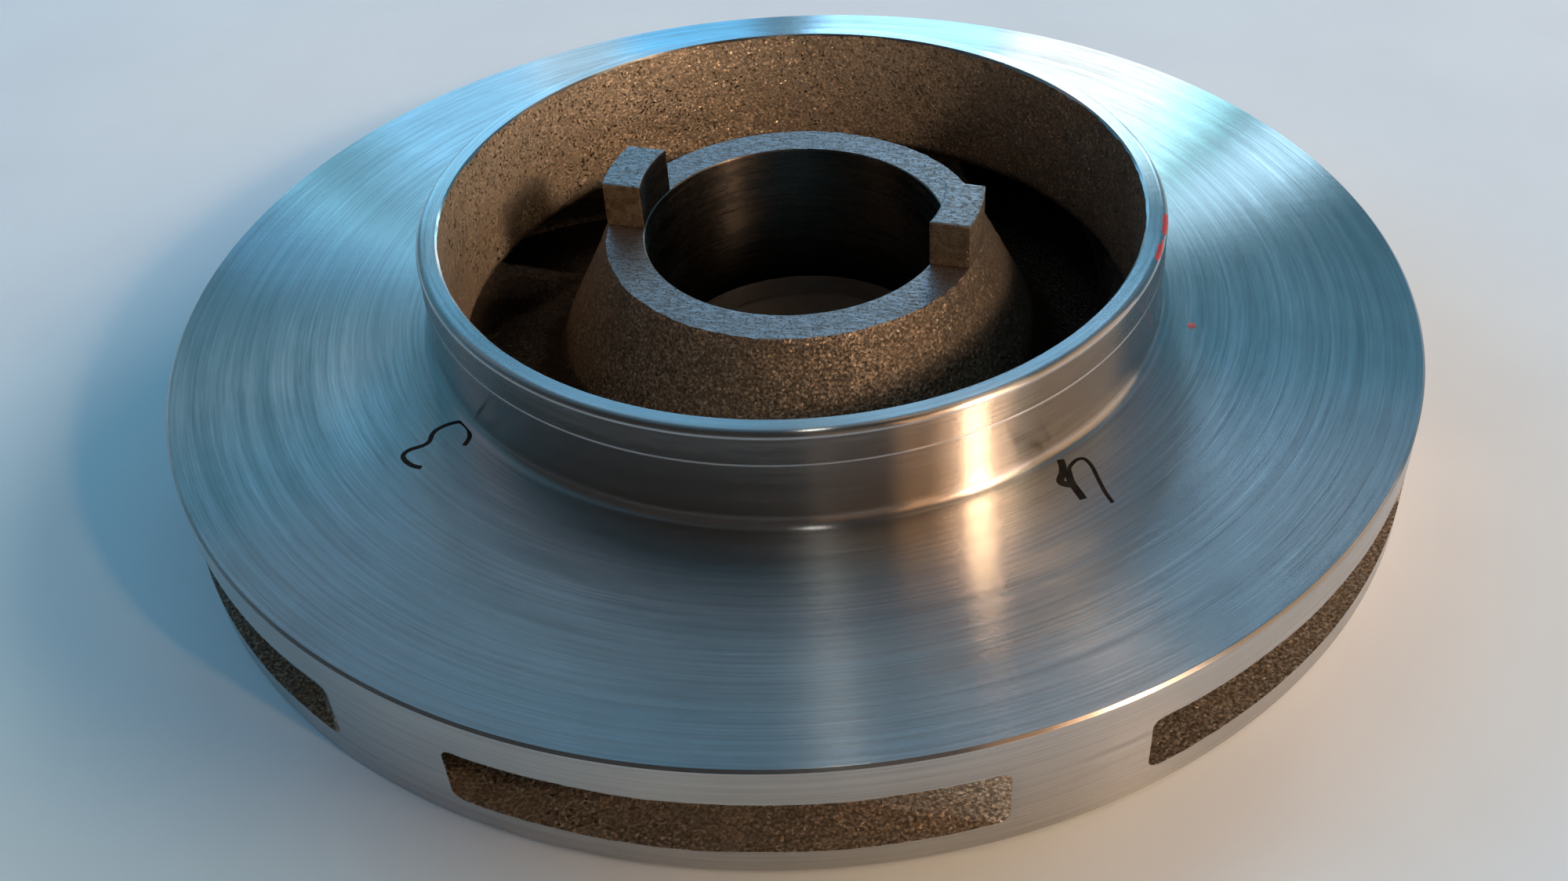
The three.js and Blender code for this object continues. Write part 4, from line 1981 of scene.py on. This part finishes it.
class Serves(Enum):
    """Which surfaces a soft light serves: bare metal, the table top or the cast skin."""

    METAL = "metal"
    TABLE = "table"
    CASTING = "casting"


@dataclass(frozen=True)
class SoftLight:
    """An area light that faces the impeller.

    Attributes:
        name: Its name.
        azimuths: Directions of its two upright edges, in degrees from +X.
        elevations: Heights of its lower and upper edge above the horizon, in degrees.
        radiance: Brightness of its face, for red, green and blue.
        serves: The surfaces it serves.
        lean: How far its upright edges lean towards a greater azimuth, in degrees.
        distance: Its distance.
    """

    name: str
    azimuths: tuple[float, float]
    elevations: tuple[float, float]
    radiance: Colour
    serves: Serves = Serves.METAL
    lean: float = 0.0
    distance: float = 1.6

    def build(self, aim: Vector) -> bpy.types.Object:
        """Adds the light to the scene.

        Args:
            aim: Point that it faces.

        Returns:
            The light's object.
        """
        azimuth, elevation = sum(self.azimuths) / 2, sum(self.elevations) / 2
        half_turn = math.radians(self.azimuths[1] - self.azimuths[0]) / 2
        half_rise = math.radians(self.elevations[1] - self.elevations[0]) / 2
        width = 2 * self.distance * math.tan(half_turn) * math.cos(math.radians(elevation))
        height = 2 * self.distance * math.tan(half_rise)
        peak = max(self.radiance)
        data = bpy.data.lights.new(self.name, "AREA")
        data.shape = "RECTANGLE"
        data.size, data.size_y = width, height
        data.color = tuple(value / peak for value in self.radiance)
        data.energy = peak * math.pi * width * height
        lamp = place_light(data, aim, azimuth, elevation, self.distance, self.lean)
        lamp.visible_glossy = self.serves is Serves.METAL
        lamp.visible_diffuse = self.serves is not Serves.METAL
        return lamp


@dataclass(frozen=True)
class SpotLight:
    """A small lamp whose beam falls on the impeller alone.

    Attributes:
        name: Its name.
        azimuth: Direction it stands in, in degrees from +X.
        elevation: Its height above the horizon, in degrees.
        distance: Its distance.
        radius: Radius of the bulb.
        beam: Width of the beam in degrees.
        radiance: Brightness of the bulb, for red, green and blue.
        serves: The surfaces it serves; it is mirrored in bare metal alone.
    """

    # Share of the beam that fades out at its edge
    SOFTNESS = 0.35

    name: str
    azimuth: float
    elevation: float
    distance: float
    radius: float
    beam: float
    radiance: Colour
    serves: Serves = Serves.METAL

    def build(self, aim: Vector) -> bpy.types.Object:
        """Adds the lamp to the scene.

        Args:
            aim: Point that it faces.

        Returns:
            The lamp's object.
        """
        peak = max(self.radiance)
        data = bpy.data.lights.new(self.name, "SPOT")
        data.shadow_soft_size = self.radius
        data.spot_size = math.radians(self.beam)
        data.spot_blend = self.SOFTNESS
        data.color = tuple(value / peak for value in self.radiance)
        data.energy = peak * (2 * math.pi * self.radius) ** 2
        lamp = place_light(data, aim, self.azimuth, self.elevation, self.distance)
        lamp.visible_glossy = self.serves is Serves.METAL
        return lamp


@dataclass
class Studio:
    """The pale table, the soft lights and the camera.

    Attributes:
        camera_place: Place of the lens.
        yaw: Turn of the view to the right of +Y, in degrees.
        pitch: Tilt of the view below the horizon.
        roll: Turn of the picture about the view.
        lens: Focal length in millimetres.
        shift: Offset of the picture's middle, as shares of its width.
        sky: Light from the back and the sides.
        gloom: Light from above and from behind the camera.
        lights: The area lights.
        lamps: The small warm lamp, and the same light as the cast skin takes it up.
        aim: Point that the lights face.
        table_size: Width of the table.
    """

    # Width of the sensor in millimetres, and nearest and farthest distance that is seen
    SENSOR = 36.0
    CLIP = (0.01, 20.0)
    # How far a direction leans back where the gloom ends and where the sky is full
    SKY_EDGE = (-0.2, 0.6)
    # Distance of the table under the back face
    TABLE_GAP = 0.02 * MM

    camera_place: tuple[float, float, float] = (0.0, -0.17882, 0.14108)
    yaw: float = 3.0418
    pitch: float = 39.6036
    roll: float = 1.7003
    lens: float = 36.40
    shift: tuple[float, float] = (-0.05602, -0.0187)
    sky: Colour = (0.062, 0.18, 0.26)
    gloom: Colour = (0.04, 0.036, 0.034)
    lights: tuple[SoftLight, ...] = (
        SoftLight("window_right_1", (79.7, 88.4), (6.0, 30.0), (1.8, 3.8, 5.8), lean=3.5),
        SoftLight("window_right_2", (70.4, 79.1), (6.0, 30.0), (3.6, 3.8, 3.8), lean=9.0),
        SoftLight("window_right_3", (67.1, 70.4), (6.0, 30.0), (1.4, 3.3, 3.8), lean=13.0),
        SoftLight("window_right_4", (61.0, 65.2), (6.0, 30.0), (1.9, 3.0, 3.8), lean=17.0),
        SoftLight("window_left_1", (91.2, 97.5), (6.0, 30.0), (0.3, 1.4, 2.6), lean=-3.0),
        SoftLight("window_left_2", (97.5, 102.2), (6.0, 30.0), (0.9, 1.45, 1.9), lean=-6.0),
        SoftLight("window_left_3", (102.2, 110.0), (6.0, 30.0), (0.65, 1.6, 2.5), lean=-10.0),
        SoftLight("window_left_4", (110.0, 114.7), (6.0, 30.0), (0.3, 0.75, 1.05), lean=-14.0),
        SoftLight("window_left_5", (114.7, 116.8), (6.0, 30.0), (0.5, 1.3, 1.8), lean=-16.0),
        SoftLight("window_left_6", (116.8, 122.3), (6.0, 30.0), (0.18, 0.5, 0.9), lean=-19.0),
        SoftLight("wall_middle", (84.0, 102.0), (34.0, 41.0), (0.45, 0.7, 0.9)),
        SoftLight("wall_high", (36.0, 156.0), (45.0, 60.0), (0.11, 0.03, 0.01)),
        SoftLight("warm_shade", (-51.0, -29.0), (20.0, 42.0), (4.2, 2.5, 1.5)),
        SoftLight("warm_low", (-51.0, -29.0), (1.0, 20.0), (2.2, 1.6, 1.3)),
        SoftLight("warm_edge", (-65.0, -51.0), (1.0, 42.0), (0.95, 0.5, 0.24)),
        SoftLight("warm_front", (-90.0, -65.0), (1.0, 42.0), (0.13, 0.08, 0.05)),
        SoftLight("warm_side", (-29.0, 15.0), (1.0, 16.0), (0.9, 0.65, 0.5)),
        SoftLight("warm_side_high", (-29.0, 15.0), (16.0, 42.0), (0.6, 0.36, 0.18)),
        SoftLight("warm_high", (-36.0, -12.0), (42.0, 52.0), (1.4, 1.3, 0.95)),
        SoftLight("ceiling", (0.0, 60.0), (60.0, 80.0), (0.54, 0.31, 0.13)),
        SoftLight("ceiling_lamp", (60.0, 92.0), (82.0, 92.0), (10.5, 10.2, 9.3)),
        SoftLight("table_warm", (-30.0, 15.0), (6.0, 30.0), (7.6, 4.6, 2.0), Serves.TABLE),
        SoftLight("table_cool", (15.0, 60.0), (6.0, 30.0), (5.6, 5.2, 6.6), Serves.TABLE),
        SoftLight("table_glow", (-60.0, -30.0), (6.0, 34.0), (0.3, 0.6, 0.9), Serves.TABLE),
        SoftLight("table_right", (-30.0, 60.0), (28.0, 40.0), (2.6, 3.3, 3.0), Serves.TABLE),
        SoftLight("table_left", (120.0, 180.0), (22.0, 33.0), (1.5, 3.6, 6.2), Serves.TABLE),
        SoftLight("table_front", (-120.0, -60.0), (20.0, 32.0), (0.9, 1.0, 1.0), Serves.TABLE),
        SoftLight("table_back", (60.0, 120.0), (8.0, 30.0), (0.4, 0.7, 1.1), Serves.TABLE),
        SoftLight("table_above", (55.0, 155.0), (30.0, 60.0), (0.35, 1.06, 1.43), Serves.TABLE),
        SoftLight("cast_key", (-75.0, -45.0), (4.0, 16.0), (7.0, 5.4, 4.0), Serves.CASTING),
        SoftLight("cast_right", (-15.0, 60.0), (4.0, 14.0), (1.5, 2.2, 2.4), Serves.CASTING),
        SoftLight("cast_left", (-180.0, -120.0), (10.0, 40.0), (0.05, 0.07, 0.12), Serves.CASTING),
        SoftLight("cast_front", (-120.0, -60.0), (10.0, 36.0), (0.05, 0.1, 0.1), Serves.CASTING),
        SoftLight("cast_back", (60.0, 150.0), (8.0, 40.0), (0.05, 0.12, 0.2), Serves.CASTING),
    )
    lamps: tuple[SpotLight, ...] = (
        SpotLight("warm_lamp", -41.5, 30.0, 0.9, 0.06, 11.0, (78.0, 51.0, 31.0)),
        SpotLight("cast_lamp", -41.5, 33.0, 0.9, 0.07, 11.0, (46.0, 36.0, 27.0), Serves.CASTING),
    )
    aim: Vector = field(default_factory=lambda: Vector((0.0, 0.0, 15.0 * MM)))
    table_size: float = 6.0

    def build(self, finishes: Finishes) -> None:
        """Adds table, lights, surroundings and camera.

        Args:
            finishes: The materials.
        """
        table = self.add_table(finishes.table)
        self.add_lights(table)
        self.add_surroundings()
        self.add_camera()

    def add_lights(self, table: bpy.types.Object) -> None:
        """Adds the lights, and keeps those of the table and of the castings apart.

        Args:
            table: The table top.
        """
        only_table = bpy.data.collections.new("lit_table")
        only_table.objects.link(table)
        all_but_table = bpy.data.collections.new("lit_castings")
        all_but_table.objects.link(table)
        all_but_table.collection_objects[0].light_linking.link_state = "EXCLUDE"
        receivers = {Serves.METAL: None, Serves.TABLE: only_table, Serves.CASTING: all_but_table}
        for light in self.lights:
            lamp = light.build(self.aim)
            lamp.light_linking.receiver_collection = receivers[light.serves]
            LOG.info("light %s", light.name)
        for light in self.lamps:
            light.build(self.aim).light_linking.receiver_collection = receivers[light.serves]

    def add_table(self, material: bpy.types.Material) -> bpy.types.Object:
        """Adds the table top, just under the back face.

        Args:
            material: Its material.

        Returns:
            The table top.
        """
        half, level = self.table_size / 2, -self.TABLE_GAP
        mesh = bpy.data.meshes.new("table_top")
        corners = [(-half, -half, level), (half, -half, level), (half, half, level), (-half, half, level)]
        mesh.from_pydata(corners, [], [(0, 1, 2, 3)])
        mesh.materials.append(material)
        table = put_in_scene("table_top", mesh)
        return table

    def add_surroundings(self) -> None:
        """Sets the soft light from all round, blue from the back and dim from above and in front."""
        world = bpy.data.worlds.new("room")
        world.use_nodes = True
        tree = TreeBuilder(world.node_tree)
        tree.tree.nodes.clear()
        way = tree.add("ShaderNodeSeparateXYZ", {0: tree.add("ShaderNodeTexCoord").outputs["Generated"]})
        start, full = self.SKY_EDGE
        back = tree.add("ShaderNodeMapRange", {"Value": way.outputs["Y"], "From Min": start,
                                               "From Max": full}, interpolation_type="SMOOTHSTEP")
        colour = tree.add("ShaderNodeMix", {"Factor": back.outputs["Result"], 6: opaque(self.gloom),
                                            7: opaque(self.sky)}, data_type="RGBA")
        light = tree.add("ShaderNodeBackground", {"Color": colour.outputs[2]})
        tree.add("ShaderNodeOutputWorld", {"Surface": light.outputs["Background"]})
        world.cycles_visibility.diffuse = False
        bpy.context.scene.world = world

    def add_camera(self) -> None:
        """Adds the camera at the photograph's viewpoint."""
        yaw, pitch, roll = (math.radians(value) for value in (self.yaw, self.pitch, self.roll))
        ahead = Vector((math.sin(yaw) * math.cos(pitch), math.cos(yaw) * math.cos(pitch), -math.sin(pitch)))
        level = Vector((math.cos(yaw), -math.sin(yaw), 0.0))
        down = ahead.cross(level)
        right = math.cos(roll) * level + math.sin(roll) * down
        below = -math.sin(roll) * level + math.cos(roll) * down
        axes = Matrix((right, -below, -ahead)).transposed()
        data = bpy.data.cameras.new("photo_view")
        data.lens = self.lens
        data.sensor_width = self.SENSOR
        data.sensor_fit = "HORIZONTAL"
        data.shift_x, data.shift_y = self.shift
        data.clip_start, data.clip_end = self.CLIP
        camera = put_in_scene("photo_view", data)
        camera.matrix_world = Matrix.Translation(self.camera_place) @ axes.to_4x4()
        bpy.context.scene.camera = camera


def main() -> None:
    """Builds the sub-assemblies in order, then the studio."""
    logging.basicConfig(level=logging.INFO, format="%(name)s %(message)s")
    finishes = Finishes()
    for assembly in (BackShroud(), Hub(), DrivingLugs(), VaneSet(), FrontShroud(), SuctionNeck(),
                     PenNumbers(), PaintDabs()):
        LOG.info("building %s", type(assembly).__name__)
        assembly.build(finishes)
    Studio().build(finishes)
    bpy.context.scene.view_settings.view_transform = "Standard"


if __name__ == "__main__":
    main()
